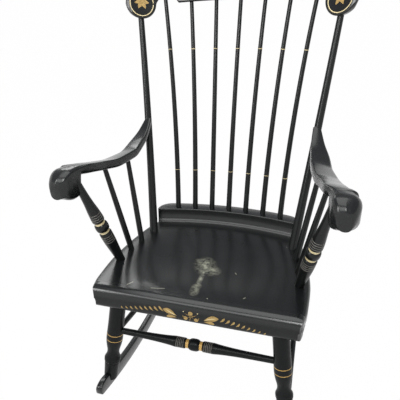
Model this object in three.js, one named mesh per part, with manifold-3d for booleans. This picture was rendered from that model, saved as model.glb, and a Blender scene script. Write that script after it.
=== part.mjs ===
// Boston rocking chair, black lacquer, one glued frame on two curved rockers.
// Millimetres, +Z up, X to the sitter's left and right, -Y to the front.
// The floor is z = 0. Heights are taken from the floor and depths from the middle of the seat.
// Members are laid out for the right-hand side (+X) and mirrored to the left.
import * as THREE from 'three';
import { mergeVertices } from 'three/addons/utils/BufferGeometryUtils.js';
import Module from 'manifold-3d';

const wasm = await Module();
wasm.setup();

// Clearances shared by all joints
const fit = 0.3;
const overrun = 6;

// Rockers
const rockerCentreX = 241.5;
const rockerThickness = 17;
const rockerHeight = 34;
const rockerFrontRise = 4;
const rockerRadius = 1135;
const rockerBalanceY = 41.5;
const rockerFrontReach = 332;
const rockerBackReach = 388;
const rockerEndRound = 9;
const rockerChord = 72;

// Seat plank and its outline, right half, from front to back
const seatTop = 352;
const seatThickness = 32;
const seatFrontY = -229;
const seatBackY = 231;
const seatCornerHalfWidth = 254;
const seatFrontHalfWidth = 262;
const seatWidestHalfWidth = 271;
const seatMidHalfWidth = 260;
const seatRearHalfWidth = 241;
const seatRearCornerHalfWidth = 212;
const seatFrontRound = 24;
const seatWidestY = -98;
const seatMidY = -15;
const seatEdgeRound = 9;
const seatDishDepth = 13;
const seatDishHalfLength = 165;
const seatDishCentreY = -15;
const seatDishInnerShare = 0.35;
const seatDishOuterShare = 0.92;
const seatAcrossShares = [-0.9, -0.68, -0.45, -0.22, 0, 0.22, 0.45, 0.68, 0.9];
const seatLengthShares = [0, 0.05, 0.12, 0.21, 0.32, 0.45, 0.58, 0.71, 0.82, 0.92];
const seatBackShares = [0, 0.4, 0.7, 0.88, 0.96, 0.99];

// Front roll: a moulding glued along the plank's front edge, as high as the plank and lower
const rollDepth = 30;
const rollDrop = 28;
const rollTopRound = 23;
const rollLowRound = 15;

// Back riser
const riserFrontY = 184;
const riserHeight = 41;
const riserLedge = 45;
const riserCove = 17;
const riserCurveRadius = 833;
const riserHalfWidth = 216;
const riserSpindleInset = 20;
const riserEdgeRound = 3;
const riserEndShare = 0.14;
const riserEndTaper = 16;

// Legs, turned, heights measured from the foot along the leg
const legTopX = 207;
const legFrontTopY = -179;
const legRearTopX = 200;
const legRearTopY = 128;
const legFrontFootY = -226;
const legRearFootY = 176;
const legFootDrop = 20;
const legFootRadius = 17.5;
const legAnkleRadius = 20;
const legCollarRadius = 22;
const legCollarHeight = 56;
const legCollarLength = 14;
const legNeckRadius = 16;
const legNeckHeight = 89;
const legRingRadius = 22.3;
const legRingHeight = 137.5;
const legRingSpacing = 17;
const legShoulderRadius = 21;
const legTenonRadius = 12.5;
const legTenonLength = 24;
const legPinRadius = 3;
const legPinInset = 1;

// Stretchers
const frontStretcherZ = 200;
const stretcherTenonRadius = 8;
const stretcherTenonLength = 16;
const stretcherEndRadius = 8.5;
const stretcherSwellRadius = 14;
const stretcherSwellEndRadius = 13;
const stretcherBandRadius = 11.5;
const stretcherBeadRadius = 15.5;
const stretcherBeadLength = 28;
const stretcherBandLength = 8;
const stretcherSwellLength = 30;
const sideStretcherFrontZ = 186;
const sideStretcherRearZ = 118;
const plainStretcherRadius = 7;
const plainSwellRadius = 8;
const plainTenonRadius = 6.5;
const rearStretcherZ = 150;

// Back posts, as points on their centre line
const postFootX = 213.8;
const postFootY = 86;
const postArmX = 248;
const postArmY = 184;
const postArmZ = 682;
const postTopY = 254;
const postFootRadius = 12.5;
const postTopRadius = 8.4;
const postTenonLength = 24;

// Back spindles
const spindleCount = 7;
const spindleFootPitch = 53.6;
const spindleLumbarPitch = 56.5;
const spindleTopPitch = 71.4;
const spindleLumbarZ = 515;
const spindleLumbarY = 226;
const spindleLumbarCurve = 0.0006;
const spindleFootRadius = 8.4;
const spindleTopRadius = 5.6;
const spindleTenonLength = 20;

// Crest rail
const crestCentreY = 342;
const crestCurveRadius = 526;
const crestBottomZ = 996;
const crestHeight = 106;
const crestArch = 6;
const crestThickness = 22;
const crestLean = 16;
const crestRollRadius = 15;
const crestStepHalfWidth = 178;
const crestStepHeight = 11;
const crestStepRun = 10;
const crestEarOffset = 62.8;
const crestEarX = spindleTopPitch * (spindleCount - 1) / 2 + crestEarOffset;
const postTopX = crestEarX;
const crestEarRadius = 40;
const crestShoulderHalfWidth = 196;

// Arms
const armThickness = 24;
const armThinningShare = 0.8;
const armOuterDrop = 18;
const armDropShares = [0.22, 0.6, 1, 0.78, 0.72, 0.33, 0.15];
const armPostWidth = 22;
const armTipOverlap = 4;
const armTipRise = 2;
const armSwoopY = 150;
const armSwoopX = 253.7;
const armSwoopWidth = 36.5;
const armSwoopZ = 658;
const armBendY = 112;
const armBendX = 262.5;
const armBendWidth = 51;
const armBendZ = 641;
const armElbowY = 62;
const armElbowX = 269;
const armElbowWidth = 57;
const armElbowZ = 621.5;
const armLowY = -5;
const armLowX = 280;
const armLowWidth = 60;
const armLowZ = 622;
const armWaistY = -75;
const armWaistX = 290.7;
const armWaistWidth = 52.7;
const armWaistZ = 633;
const armNeckY = -135;
const armNeckX = 299.3;
const armNeckWidth = 52.5;
const armNeckZ = 645.5;
const armKnobX = 314.5;
const armKnobY = -180;
const armKnobZ = 609;
const armKnobHalfLength = 41;
const armKnobHalfDepth = 38;
const armKnobWidth = 65;
const armKnobBackShare = 0.93;
const armKnobTipShare = 0.995;
const armCornerShare = 0.32;
const armSoftShare = 0.35;

// Turned arm supports and arm spindles
const supportFootX = 242.5;
const supportFootY = -90.5;
const supportTopX = 296;
const supportTopY = -172;
const supportTopZ = 622;
const supportFootRadius = 11.5;
const supportSwellRadius = 16.5;
const supportBandRadius = 13.5;
const supportBeadRadius = 17.5;
const supportUpperRadius = 15.5;
const supportTopRadius = 9.5;
const supportBeadHeight = 127;
const supportBandGap = 30;
const supportBandLength = 6;
const supportBeadLength = 12;
const supportTenonLength = 18;
const armSpindleFootRadius = 8.4;
const armSpindleTopRadius = 6.4;
const armSpindleTenonLength = 14;
const frontArmSpindleFootX = 236.5;
const frontArmSpindleFootY = -33;
const frontArmSpindleTopX = 286.4;
const frontArmSpindleTopY = -43;
const rearArmSpindleFootX = 227;
const rearArmSpindleFootY = 20;
const rearArmSpindleTopX = 266.4;
const rearArmSpindleTopY = 56;
const armSpindleTopZ = 606;

// Screws that hold the arms to the posts, under wood plugs
const screwRadius = 2.2;
const screwHeadRadius = 4;
const screwHeadLength = 3;
const screwLength = 34;
const screwAngle = 31;
const plugRadius = 4.5;
const plugLength = 4;
const screwHeadDepth = 6;
const screwPostShare = 0.485;

// Faces round each kind of member
const legSides = 16;
const postSides = 12;
const spindleSides = 10;
const socketSides = 12;
const bendSteps = 8;
const crestSteps = 20;
const crestCurveSegments = 7;
const rollSteps = 8;
const rollArcSteps = 4;
const riserSteps = 14;
const coveSteps = 4;
const knobSteps = 6;

const half = 0.5;

const seatUnderside = seatTop - seatThickness;
const crestTopZ = crestBottomZ + crestHeight;
const frontBackMiddle = rockerBalanceY + (rockerBackReach - rockerFrontReach) * half;

// Solids and surfaces

function solidOf(geometry) {
  const bare = geometry.clone();
  bare.deleteAttribute('normal');
  bare.deleteAttribute('uv');
  const merged = mergeVertices(bare);
  return new wasm.Manifold(new wasm.Mesh({
    numProp: 3,
    vertProperties: new Float32Array(merged.attributes.position.array),
    triVerts: new Uint32Array(merged.index.array),
  }));
}

function geometryOf(solid) {
  const mesh = solid.getMesh();
  const geometry = new THREE.BufferGeometry();
  geometry.setAttribute('position', new THREE.BufferAttribute(mesh.vertProperties, 3));
  geometry.setIndex(new THREE.BufferAttribute(mesh.triVerts, 1));
  geometry.computeVertexNormals();
  return geometry;
}

function signedVolume(points, faces) {
  let total = 0;
  for (const [a, b, c] of faces) {
    total += points[a].dot(points[b].clone().cross(points[c]));
  }
  return total;
}

// A closed skin through rings of points, each ring with as many points as the others
function loft(rings) {
  const count = rings[0].length;
  const points = rings.flat();
  const faces = [];
  for (let ring = 0; ring + 1 < rings.length; ring += 1) {
    for (let k = 0; k < count; k += 1) {
      const next = (k + 1) % count;
      const a = ring * count + k;
      const b = ring * count + next;
      faces.push([a, b, b + count], [a, b + count, a + count]);
    }
  }
  const capStart = points.length;
  points.push(middleOf(rings[0]), middleOf(rings.at(-1)));
  const last = (rings.length - 1) * count;
  for (let k = 0; k < count; k += 1) {
    const next = (k + 1) % count;
    faces.push([capStart, next, k]);
    faces.push([capStart + 1, last + k, last + next]);
  }
  const inward = signedVolume(points, faces) < 0;
  const geometry = new THREE.BufferGeometry();
  geometry.setFromPoints(points);
  geometry.setIndex(faces.map((face) => (inward ? [...face].reverse() : face)).flat());
  geometry.computeVertexNormals();
  return geometry;
}

function middleOf(ring) {
  const sum = new THREE.Vector3();
  ring.forEach((point) => sum.add(point));
  return sum.divideScalar(ring.length);
}

// A round, tapered member along a bent centre line: stations hold a point and a radius
function bentRound(stations, sides) {
  const rings = stations.map((station, index) => {
    const before = stations[Math.max(index - 1, 0)].point;
    const after = stations[Math.min(index + 1, stations.length - 1)].point;
    const along = after.clone().sub(before).normalize();
    const across = new THREE.Vector3(1, 0, 0).addScaledVector(along, -along.x).normalize();
    const other = along.clone().cross(across);
    const ring = [];
    for (let k = 0; k < sides; k += 1) {
      const angle = (k / sides) * Math.PI * 2;
      ring.push(station.point.clone()
        .addScaledVector(across, station.radius * Math.cos(angle))
        .addScaledVector(other, station.radius * Math.sin(angle)));
    }
    return ring;
  });
  return loft(rings);
}

// A straight round bar between two points, used as a socket, pin or tenon
function bar(from, to, radius, sides = socketSides) {
  const along = to.clone().sub(from);
  const geometry = new THREE.CylinderGeometry(radius, radius, along.length(), sides);
  geometry.applyQuaternion(new THREE.Quaternion().setFromUnitVectors(
    new THREE.Vector3(0, 1, 0), along.clone().normalize()));
  const middle = from.clone().lerp(to, half);
  return geometry.translate(middle.x, middle.y, middle.z);
}

// A turned member from one point to another: the profile lists [radius, height] from the foot
function turned(profile, from, to, sides) {
  const points = profile.map(([radius, height]) => new THREE.Vector2(radius, height));
  const geometry = new THREE.LatheGeometry(points, sides);
  geometry.applyQuaternion(new THREE.Quaternion().setFromUnitVectors(
    new THREE.Vector3(0, 1, 0), to.clone().sub(from).normalize()));
  return geometry.translate(from.x, from.y, from.z);
}

// A cutter for a round hole: its flats, not its corners, lie at the radius
function borer(from, to, radius) {
  return bar(from, to, radius / Math.cos(Math.PI / socketSides), socketSides);
}

function mirrored(geometry) {
  const copy = geometry.clone();
  copy.scale(-1, 1, 1);
  const index = copy.index.array;
  for (let k = 0; k < index.length; k += 3) {
    [index[k], index[k + 1]] = [index[k + 1], index[k]];
  }
  copy.computeVertexNormals();
  return copy;
}

function pointAlong(from, to, distance) {
  return from.clone().addScaledVector(to.clone().sub(from).normalize(), distance);
}

// A flat outline in Y and Z, given a thickness along X
function slab(outline, lowX, highX) {
  const shape = new THREE.Shape(outline.map(([y, z]) => new THREE.Vector2(y, z)));
  const geometry = new THREE.ExtrudeGeometry(shape, { depth: highX - lowX, bevelEnabled: false });
  geometry.applyMatrix4(new THREE.Matrix4().makeBasis(
    new THREE.Vector3(0, 1, 0), new THREE.Vector3(0, 0, 1), new THREE.Vector3(1, 0, 0)));
  return geometry.translate(lowX, 0, 0);
}

function smoothStep(value, low, high) {
  return THREE.MathUtils.smoothstep(value, low, high);
}

// A value read off a table of [place, value] pairs
function along(table, place) {
  let index = 1;
  while (index < table.length - 1 && table[index][0] < place) index += 1;
  const [lowPlace, lowValue] = table[index - 1];
  const [highPlace, highValue] = table[index];
  const share = THREE.MathUtils.clamp((place - lowPlace) / (highPlace - lowPlace), 0, 1);
  return THREE.MathUtils.lerp(lowValue, highValue, share);
}

// Rocker curve

function rockerBottomZ(y) {
  const offset = y - rockerBalanceY;
  const level = rockerRadius - Math.sqrt(rockerRadius ** 2 - (rockerChord * half) ** 2);
  return rockerRadius - Math.sqrt(rockerRadius ** 2 - offset ** 2) - level;
}

function rockerDepthAt(y) {
  const share = Math.max(rockerBalanceY - y, 0) / rockerFrontReach;
  return rockerHeight + rockerFrontRise * share;
}

function rockerTopZ(y) {
  return rockerBottomZ(y) + rockerDepthAt(y);
}

// Straight chords close to the curve: the one under the balance point lies flat on the floor
function rockerOutline() {
  const frontEnd = rockerBalanceY - rockerFrontReach;
  const backEnd = rockerBalanceY + rockerBackReach;
  const places = [frontEnd + rockerEndRound];
  const chordsEachWay = Math.ceil(Math.max(rockerFrontReach, rockerBackReach) / rockerChord);
  for (let k = -chordsEachWay; k < chordsEachWay; k += 1) {
    const y = rockerBalanceY + (k + half) * rockerChord;
    if (y > frontEnd + rockerEndRound * 2 && y < backEnd - rockerEndRound * 2) places.push(y);
  }
  places.push(backEnd - rockerEndRound);
  const low = places.map((y) => [y, rockerBottomZ(y)]);
  const high = places.map((y) => [y, rockerTopZ(y)]).reverse();
  const frontLow = [frontEnd, rockerBottomZ(frontEnd) + rockerEndRound];
  const frontHigh = [frontEnd, rockerTopZ(frontEnd) - rockerEndRound];
  const backLow = [backEnd, rockerBottomZ(backEnd) + rockerEndRound];
  const backHigh = [backEnd, rockerTopZ(backEnd) - rockerEndRound];
  return [frontLow, ...low, backLow, backHigh, ...high, frontHigh];
}

// Legs run from the seat's underside to the rockers

function legLine(topX, topY, footY) {
  const foot = new THREE.Vector3(rockerCentreX, footY, rockerTopZ(footY) - legFootDrop);
  const top = new THREE.Vector3(topX, topY, seatUnderside);
  return { foot, top };
}

const frontLeg = legLine(legTopX, legFrontTopY, legFrontFootY);
const rearLeg = legLine(legRearTopX, legRearTopY, legRearFootY);

function atHeight(line, z) {
  const share = (z - line.foot.z) / (line.top.z - line.foot.z);
  return line.foot.clone().lerp(line.top, share);
}

function legProfile(length) {
  const collarTop = legCollarHeight + legCollarLength;
  const ringTop = legRingHeight + legRingSpacing * half;
  const ringBottom = legRingHeight - legRingSpacing * half;
  const neckHalf = (legNeckHeight - collarTop) * half;
  const ringFlare = (ringBottom - legNeckHeight) * half;
  return [
    [0, 0],
    [legFootRadius, 0],
    [legAnkleRadius, legCollarHeight * half],
    [legAnkleRadius, legCollarHeight - neckHalf],
    [legCollarRadius, legCollarHeight],
    [legCollarRadius, collarTop - neckHalf * half],
    [legNeckRadius, legNeckHeight - neckHalf * half],
    [legNeckRadius, legNeckHeight + neckHalf],
    [legRingRadius - fit, ringBottom - ringFlare * half],
    [legRingRadius, ringBottom],
    [legRingRadius, ringTop],
    [legShoulderRadius, ringTop + legRingSpacing * 2],
    [legShoulderRadius, length],
    [0, length],
  ];
}

function legSolid(line) {
  const length = line.top.distanceTo(line.foot);
  const beyond = pointAlong(line.foot, line.top, length + legShoulderRadius);
  let leg = solidOf(turned(legProfile(length + legShoulderRadius), line.foot, beyond, legSides));
  const size = legShoulderRadius * 4;
  const above = new THREE.BoxGeometry(size, size, size);
  above.translate(line.top.x, line.top.y, seatUnderside - fit + size * half);
  leg = leg.subtract(solidOf(above));
  const low = pointAlong(line.top, line.foot, legShoulderRadius);
  const high = pointAlong(line.foot, line.top, length + legTenonLength);
  leg = leg.add(solidOf(bar(low, high, legTenonRadius)));
  return leg.subtract(solidOf(footSlot()));
}

// The slot in a leg's foot follows the rocker that it straddles
function footSlot() {
  const reach = rockerThickness * half + fit;
  const outline = rockerOutline().map(([y, z]) => [y, z + fit]);
  return slab(outline, rockerCentreX - reach, rockerCentreX + reach);
}

function legPinLine(line) {
  const z = line.foot.z + legFootDrop * half;
  const centre = new THREE.Vector3(rockerCentreX, atHeight(line, z).y, z);
  const reach = new THREE.Vector3(legFootRadius - legPinInset, 0, 0);
  return { from: centre.clone().sub(reach), to: centre.clone().add(reach) };
}

function socketFrom(line, length, radius) {
  const start = pointAlong(line.top, line.foot, overrun);
  const end = pointAlong(line.foot, line.top, line.foot.distanceTo(line.top) + length + fit);
  return borer(start, end, radius + fit);
}

// Posts and spindles of the back

const postPath = new THREE.QuadraticBezierCurve3(
  new THREE.Vector3(postFootX, postFootY, seatTop),
  new THREE.Vector3(
    postArmX * 2 - (postFootX + postTopX) * half,
    postArmY * 2 - (postFootY + postTopY) * half,
    seatTop + (crestBottomZ - seatTop) * half),
  new THREE.Vector3(postTopX, postTopY, crestBottomZ - crestEarRadius));

function stationsAlong(path, footRadius, topRadius, tenon, count) {
  const stations = [];
  const footTangent = path.getTangent(0);
  const topTangent = path.getTangent(1);
  stations.push({ point: path.getPoint(0).addScaledVector(footTangent, -tenon), radius: footRadius });
  for (let k = 0; k <= count; k += 1) {
    const share = k / count;
    const radius = THREE.MathUtils.lerp(footRadius, topRadius, share);
    stations.push({ point: path.getPoint(share), radius });
  }
  stations.push({ point: path.getPoint(1).addScaledVector(topTangent, tenon), radius: topRadius });
  return stations;
}

function socketsOf(path, footRadius, topRadius, tenon) {
  const footTangent = path.getTangent(0);
  const topTangent = path.getTangent(1);
  const foot = path.getPoint(0);
  const top = path.getPoint(1);
  const deep = tenon + fit;
  return {
    foot: borer(foot.clone().addScaledVector(footTangent, overrun),
      foot.clone().addScaledVector(footTangent, -deep), footRadius + fit),
    top: borer(top.clone().addScaledVector(topTangent, -overrun),
      top.clone().addScaledVector(topTangent, deep), topRadius + fit),
  };
}

// The riser and the crest are bent on circles seen from above
function onCircle(radius, centreY, x, out) {
  const middleY = centreY - radius;
  const angle = Math.asin(x / radius);
  return new THREE.Vector3((radius + out) * Math.sin(angle), middleY + (radius + out) * Math.cos(angle), 0);
}

function spindlePath(k) {
  const footX = k * spindleFootPitch;
  const foot = onCircle(riserCurveRadius, riserFrontY, footX, riserSpindleInset);
  foot.z = seatTop + riserHeight;
  const lumbarX = k * spindleLumbarPitch;
  const lumbar = new THREE.Vector3(
    lumbarX, spindleLumbarY - spindleLumbarCurve * lumbarX ** 2, spindleLumbarZ);
  const topX = k * spindleTopPitch;
  const top = onCircle(crestCurveRadius, crestCentreY, topX, 0);
  top.z = crestLowerEdge(topX);
  return new THREE.CatmullRomCurve3([foot, lumbar, top]);
}

// The lower edge is a shallow arch between the two steps
function crestLowerEdge(x) {
  const share = Math.min(Math.abs(x) / crestStepHalfWidth, 1);
  return share < 1 ? crestBottomZ + crestArch * (1 - share ** 2) : crestBottomZ + crestStepHeight;
}

// Crest rail: a leaning, curved board cut to its outline as seen from the front

function crestBoard() {
  const lean = THREE.MathUtils.degToRad(crestLean);
  const bottom = crestBottomZ - crestEarRadius - overrun;
  const halfThick = crestThickness * half;
  const reachX = crestEarX + crestEarRadius + overrun;
  const rollZ = crestTopZ - crestRollRadius;
  const leanAt = (z) => (z - crestBottomZ) * Math.tan(lean);
  const section = [
    [leanAt(bottom) - halfThick, bottom],
    [leanAt(bottom) + halfThick, bottom],
    [leanAt(rollZ) + halfThick, rollZ - crestRollRadius],
    [leanAt(rollZ) + halfThick + crestRollRadius, rollZ - crestRollRadius * half],
    [leanAt(rollZ) + halfThick + crestRollRadius, rollZ + crestRollRadius * half],
    [leanAt(rollZ) + halfThick, crestTopZ],
    [leanAt(rollZ), crestTopZ],
    [leanAt(rollZ) - halfThick, rollZ],
  ];
  const rings = [];
  for (let k = 0; k <= crestSteps; k += 1) {
    const x = THREE.MathUtils.lerp(-reachX, reachX, k / crestSteps);
    rings.push(section.map(([out, z]) => {
      const point = onCircle(crestCurveRadius, crestCentreY, x, out);
      point.z = z;
      return point;
    }));
  }
  return loft(rings);
}

function crestOutline() {
  const shape = new THREE.Shape();
  const stepX = crestStepHalfWidth + crestStepRun;
  const raised = crestBottomZ + crestStepHeight;
  const earInner = crestEarX - crestEarRadius;
  shape.moveTo(-crestStepHalfWidth, crestBottomZ);
  shape.quadraticCurveTo(0, crestBottomZ + crestArch * 2, crestStepHalfWidth, crestBottomZ);
  shape.lineTo(stepX, raised);
  shape.lineTo(earInner - crestStepRun, raised);
  shape.lineTo(earInner, crestBottomZ);
  shape.absarc(crestEarX, crestBottomZ, crestEarRadius, Math.PI, Math.PI * 2 + Math.PI * half, false);
  shape.quadraticCurveTo(crestShoulderHalfWidth + crestEarRadius, crestBottomZ + crestEarRadius,
    crestShoulderHalfWidth, crestTopZ - crestRollRadius * half);
  shape.quadraticCurveTo(crestShoulderHalfWidth - crestEarRadius, crestTopZ, 0, crestTopZ);
  shape.quadraticCurveTo(-crestShoulderHalfWidth + crestEarRadius, crestTopZ,
    -crestShoulderHalfWidth, crestTopZ - crestRollRadius * half);
  shape.quadraticCurveTo(-crestShoulderHalfWidth - crestEarRadius, crestBottomZ + crestEarRadius,
    -crestEarX, crestBottomZ + crestEarRadius);
  shape.absarc(-crestEarX, crestBottomZ, crestEarRadius, Math.PI * half, Math.PI * 2, false);
  shape.lineTo(-earInner + crestStepRun, raised);
  shape.lineTo(-stepX, raised);
  const depth = crestCentreY + crestCurveRadius;
  const geometry = new THREE.ExtrudeGeometry(shape, { depth, bevelEnabled: false, curveSegments: crestCurveSegments });
  geometry.rotateX(Math.PI * half);
  return geometry.translate(0, depth, 0);
}

// Seat plank, lofted from the front roll to the back edge

function seatHalfWidth(y) {
  return along([
    [seatFrontY, seatCornerHalfWidth],
    [seatFrontY + seatFrontRound * half, seatFrontHalfWidth],
    [seatFrontY + seatFrontRound * 2, seatWidestHalfWidth],
    [seatWidestY, seatWidestHalfWidth],
    [seatMidY, seatMidHalfWidth],
    [riserFrontY - riserLedge * 2, seatRearHalfWidth],
    [riserFrontY, seatRearCornerHalfWidth],
    [seatBackY - riserLedge * half, seatRearCornerHalfWidth - seatEdgeRound],
  ], y);
}

function seatBackHalfWidth(y) {
  const circle = riserCurveRadius + seatBackY - riserFrontY;
  const across = circle ** 2 - (y - seatBackY + circle) ** 2;
  return Math.sqrt(Math.max(across, seatEdgeRound ** 2));
}

function dishDepth(x, y) {
  const side = Math.abs(x) / seatHalfWidth(y);
  const lengthwise = (y - seatDishCentreY) / seatDishHalfLength;
  if (Math.abs(lengthwise) >= 1) return 0;
  const flat = 1 - smoothStep(side, seatDishInnerShare, seatDishOuterShare);
  return seatDishDepth * flat * (1 - lengthwise ** 2);
}

function seatRing(y) {
  const width = Math.min(seatHalfWidth(y), seatBackHalfWidth(y));
  const edge = Math.min(seatEdgeRound, width * half);
  const ring = [
    new THREE.Vector3(width - edge, y, seatUnderside),
    new THREE.Vector3(width, y, seatUnderside + edge),
    new THREE.Vector3(width, y, seatTop - edge),
    new THREE.Vector3(width - edge, y, seatTop),
  ];
  seatAcrossShares.toReversed().forEach((share) => {
    const x = share * (width - edge);
    ring.push(new THREE.Vector3(x, y, seatTop - dishDepth(x, y)));
  });
  ring.push(
    new THREE.Vector3(-width + edge, y, seatTop),
    new THREE.Vector3(-width, y, seatTop - edge),
    new THREE.Vector3(-width, y, seatUnderside + edge),
    new THREE.Vector3(-width + edge, y, seatUnderside),
  );
  return ring;
}

function seatStations() {
  const plankFront = seatFrontY + rollDepth;
  const backStart = riserFrontY - seatEdgeRound;
  const length = seatLengthShares.map((share) => THREE.MathUtils.lerp(plankFront, backStart, share));
  const back = seatBackShares.map((share) => THREE.MathUtils.lerp(backStart, seatBackY, share));
  return [...length, ...back];
}

// Front roll: its section rolls over from the seat's top to below the plank

function rollSection() {
  const low = seatUnderside - rollDrop;
  const back = seatFrontY + rollDepth;
  const section = [[back, seatTop]];
  for (let k = 0; k <= rollArcSteps; k += 1) {
    const angle = k / rollArcSteps * Math.PI * half;
    const y = seatFrontY + rollTopRound * (1 - Math.sin(angle));
    section.push([y, seatTop - rollTopRound * (1 - Math.cos(angle))]);
  }
  for (let k = 0; k <= rollArcSteps; k += 1) {
    const angle = k / rollArcSteps * Math.PI * half;
    const y = seatFrontY + rollLowRound * (1 - Math.cos(angle));
    section.push([y, low + rollLowRound * (1 - Math.sin(angle))]);
  }
  section.push([back, low]);
  return section;
}

// The ends follow the corners of the seat's outline
function rollGeometry() {
  const section = rollSection();
  const rings = [];
  for (let k = 0; k <= rollSteps; k += 1) {
    const share = k / rollSteps * 2 - 1;
    rings.push(section.map(([y, z]) => new THREE.Vector3(share * seatHalfWidth(y), y, z)));
  }
  return loft(rings);
}

// Back riser with its coved front, bent to the curve of the back

function riserGeometry() {
  const base = seatTop + fit;
  const top = seatTop + riserHeight;
  const coveHeight = riserHeight - fit - riserEdgeRound;
  const rings = [];
  for (let k = 0; k <= riserSteps; k += 1) {
    const share = k / riserSteps * 2 - 1;
    const x = share * riserHalfWidth;
    const endShare = Math.max(Math.abs(share) - 1 + riserEndShare, 0) / riserEndShare;
    const shrink = riserEndTaper * (1 - Math.sqrt(1 - endShare ** 2));
    const section = [];
    for (let step = 0; step <= coveSteps; step += 1) {
      const angle = step / coveSteps * Math.PI * half;
      const out = shrink - riserCove * (1 - Math.sin(angle));
      section.push([out, base + coveHeight * (1 - Math.cos(angle))]);
    }
    section.push([shrink + riserEdgeRound, top], [riserLedge - shrink - riserEdgeRound, top]);
    section.push([riserLedge - shrink, top - riserEdgeRound], [riserLedge - shrink, base]);
    rings.push(section.map(([out, z]) => {
      const point = onCircle(riserCurveRadius, riserFrontY, x, out);
      point.z = z;
      return point;
    }));
  }
  return loft(rings);
}

// Arms, lofted from the post to the rolled knob

// Each station holds its place along the arm, the middle of its width, its width, top and underside
function armStations() {
  const board = [
    [postArmY - armTipOverlap, postArmX, armPostWidth, postArmZ + armTipRise, armThickness * armThinningShare],
    [armSwoopY, armSwoopX, armSwoopWidth, armSwoopZ, armThickness],
    [armBendY, armBendX, armBendWidth, armBendZ, armThickness],
    [armElbowY, armElbowX, armElbowWidth, armElbowZ, armThickness],
    [armLowY, armLowX, armLowWidth, armLowZ, armThickness],
    [armWaistY, armWaistX, armWaistWidth, armWaistZ, armThickness],
    [armNeckY, armNeckX, armNeckWidth, armNeckZ, armThickness],
  ];
  const stations = board.map(([y, x, width, top, thickness], index) => (
    { y, x, width, top, low: top - thickness, drop: armOuterDrop * armDropShares[index] }));
  const back = armKnobY + armKnobHalfLength * armKnobBackShare;
  const backTop = knobStation(armKnobBackShare).top;
  stations.push({
    y: back + overrun,
    x: (armNeckX + armKnobX) * half,
    width: (armNeckWidth + armKnobWidth) * half,
    top: THREE.MathUtils.lerp(armNeckZ, armKnobZ + armKnobHalfDepth, armThinningShare),
    low: backTop - armThickness,
  });
  for (let k = 0; k <= knobSteps; k += 1) {
    const turn = THREE.MathUtils.lerp(
      Math.asin(armKnobBackShare), -Math.asin(armKnobTipShare), k / knobSteps);
    stations.push(knobStation(Math.sin(turn)));
  }
  return stations;
}

// The rolled end is an oval seen from the side: share runs from 1 at its back to -1 at its front
function knobStation(share) {
  const depth = armKnobHalfDepth * Math.sqrt(1 - share ** 2);
  const forward = Math.max(-share, 0);
  const width = armKnobWidth * Math.sqrt(1 - forward ** 2 * armThinningShare);
  const lift = share > 0 ? armKnobHalfDepth - depth : 0;
  return {
    y: armKnobY + armKnobHalfLength * share,
    x: armKnobX,
    width,
    top: armKnobZ + depth + lift,
    low: armKnobZ - depth,
  };
}

// The board's outer edge hangs lower than its inner edge, by the station's drop
function armRing({ y, x: centreX, width, top, low, drop = 0 }) {
  const inner = centreX - width * half;
  const outer = centreX + width * half;
  const corner = Math.min(width, top - low) * armCornerShare;
  const soft = corner * armSoftShare;
  return [
    [inner, low + corner], [inner, top - corner], [inner + soft, top - soft], [inner + corner, top],
    [outer - corner, top], [outer - soft, top - soft], [outer, top - corner],
    [outer, low + corner], [outer - soft, low + soft], [outer - corner, low],
    [inner + corner, low], [inner + soft, low + soft],
  ].map(([x, z]) => new THREE.Vector3(x, y, z - drop * (x - inner) / width));
}

const supportLine = {
  foot: new THREE.Vector3(supportFootX, supportFootY, seatTop),
  top: new THREE.Vector3(supportTopX, supportTopY, supportTopZ),
};

function armSpindleLine(footX, footY, topX, topY) {
  return {
    foot: new THREE.Vector3(footX, footY, seatTop),
    top: new THREE.Vector3(topX, topY, armSpindleTopZ),
  };
}

const frontArmSpindle = armSpindleLine(
  frontArmSpindleFootX, frontArmSpindleFootY, frontArmSpindleTopX, frontArmSpindleTopY);
const rearArmSpindle = armSpindleLine(
  rearArmSpindleFootX, rearArmSpindleFootY, rearArmSpindleTopX, rearArmSpindleTopY);

function straightSockets(line, footRadius, topRadius, tenon) {
  const length = line.foot.distanceTo(line.top);
  return {
    foot: borer(pointAlong(line.foot, line.top, -tenon - fit),
      pointAlong(line.foot, line.top, overrun), footRadius + fit),
    top: borer(pointAlong(line.foot, line.top, length - armThickness * 2),
      pointAlong(line.foot, line.top, length + fit), topRadius + fit),
  };
}

function supportProfile(length) {
  const bead = supportBeadHeight;
  const bandLow = bead - supportBandGap * half;
  const bandHigh = bead + supportBandGap * half;
  const narrow = supportBandLength * half;
  const beadHalf = supportBeadLength * half;
  return [
    [0, -supportTenonLength],
    [supportFootRadius, -supportTenonLength],
    [supportFootRadius, 0],
    [supportSwellRadius, bandLow - supportBandGap],
    [supportSwellRadius, bandLow - narrow * 2],
    [supportBandRadius, bandLow - narrow],
    [supportBandRadius, bandLow + narrow],
    [supportBeadRadius, bead - beadHalf],
    [supportBeadRadius, bead + beadHalf],
    [supportBandRadius, bandHigh - narrow],
    [supportBandRadius, bandHigh + narrow],
    [supportUpperRadius, bandHigh + narrow * 2],
    [supportUpperRadius, bandHigh + supportBandGap],
    [supportTopRadius, bandHigh + supportBandGap * 3],
    [supportTopRadius, length],
    [0, length],
  ];
}

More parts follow.
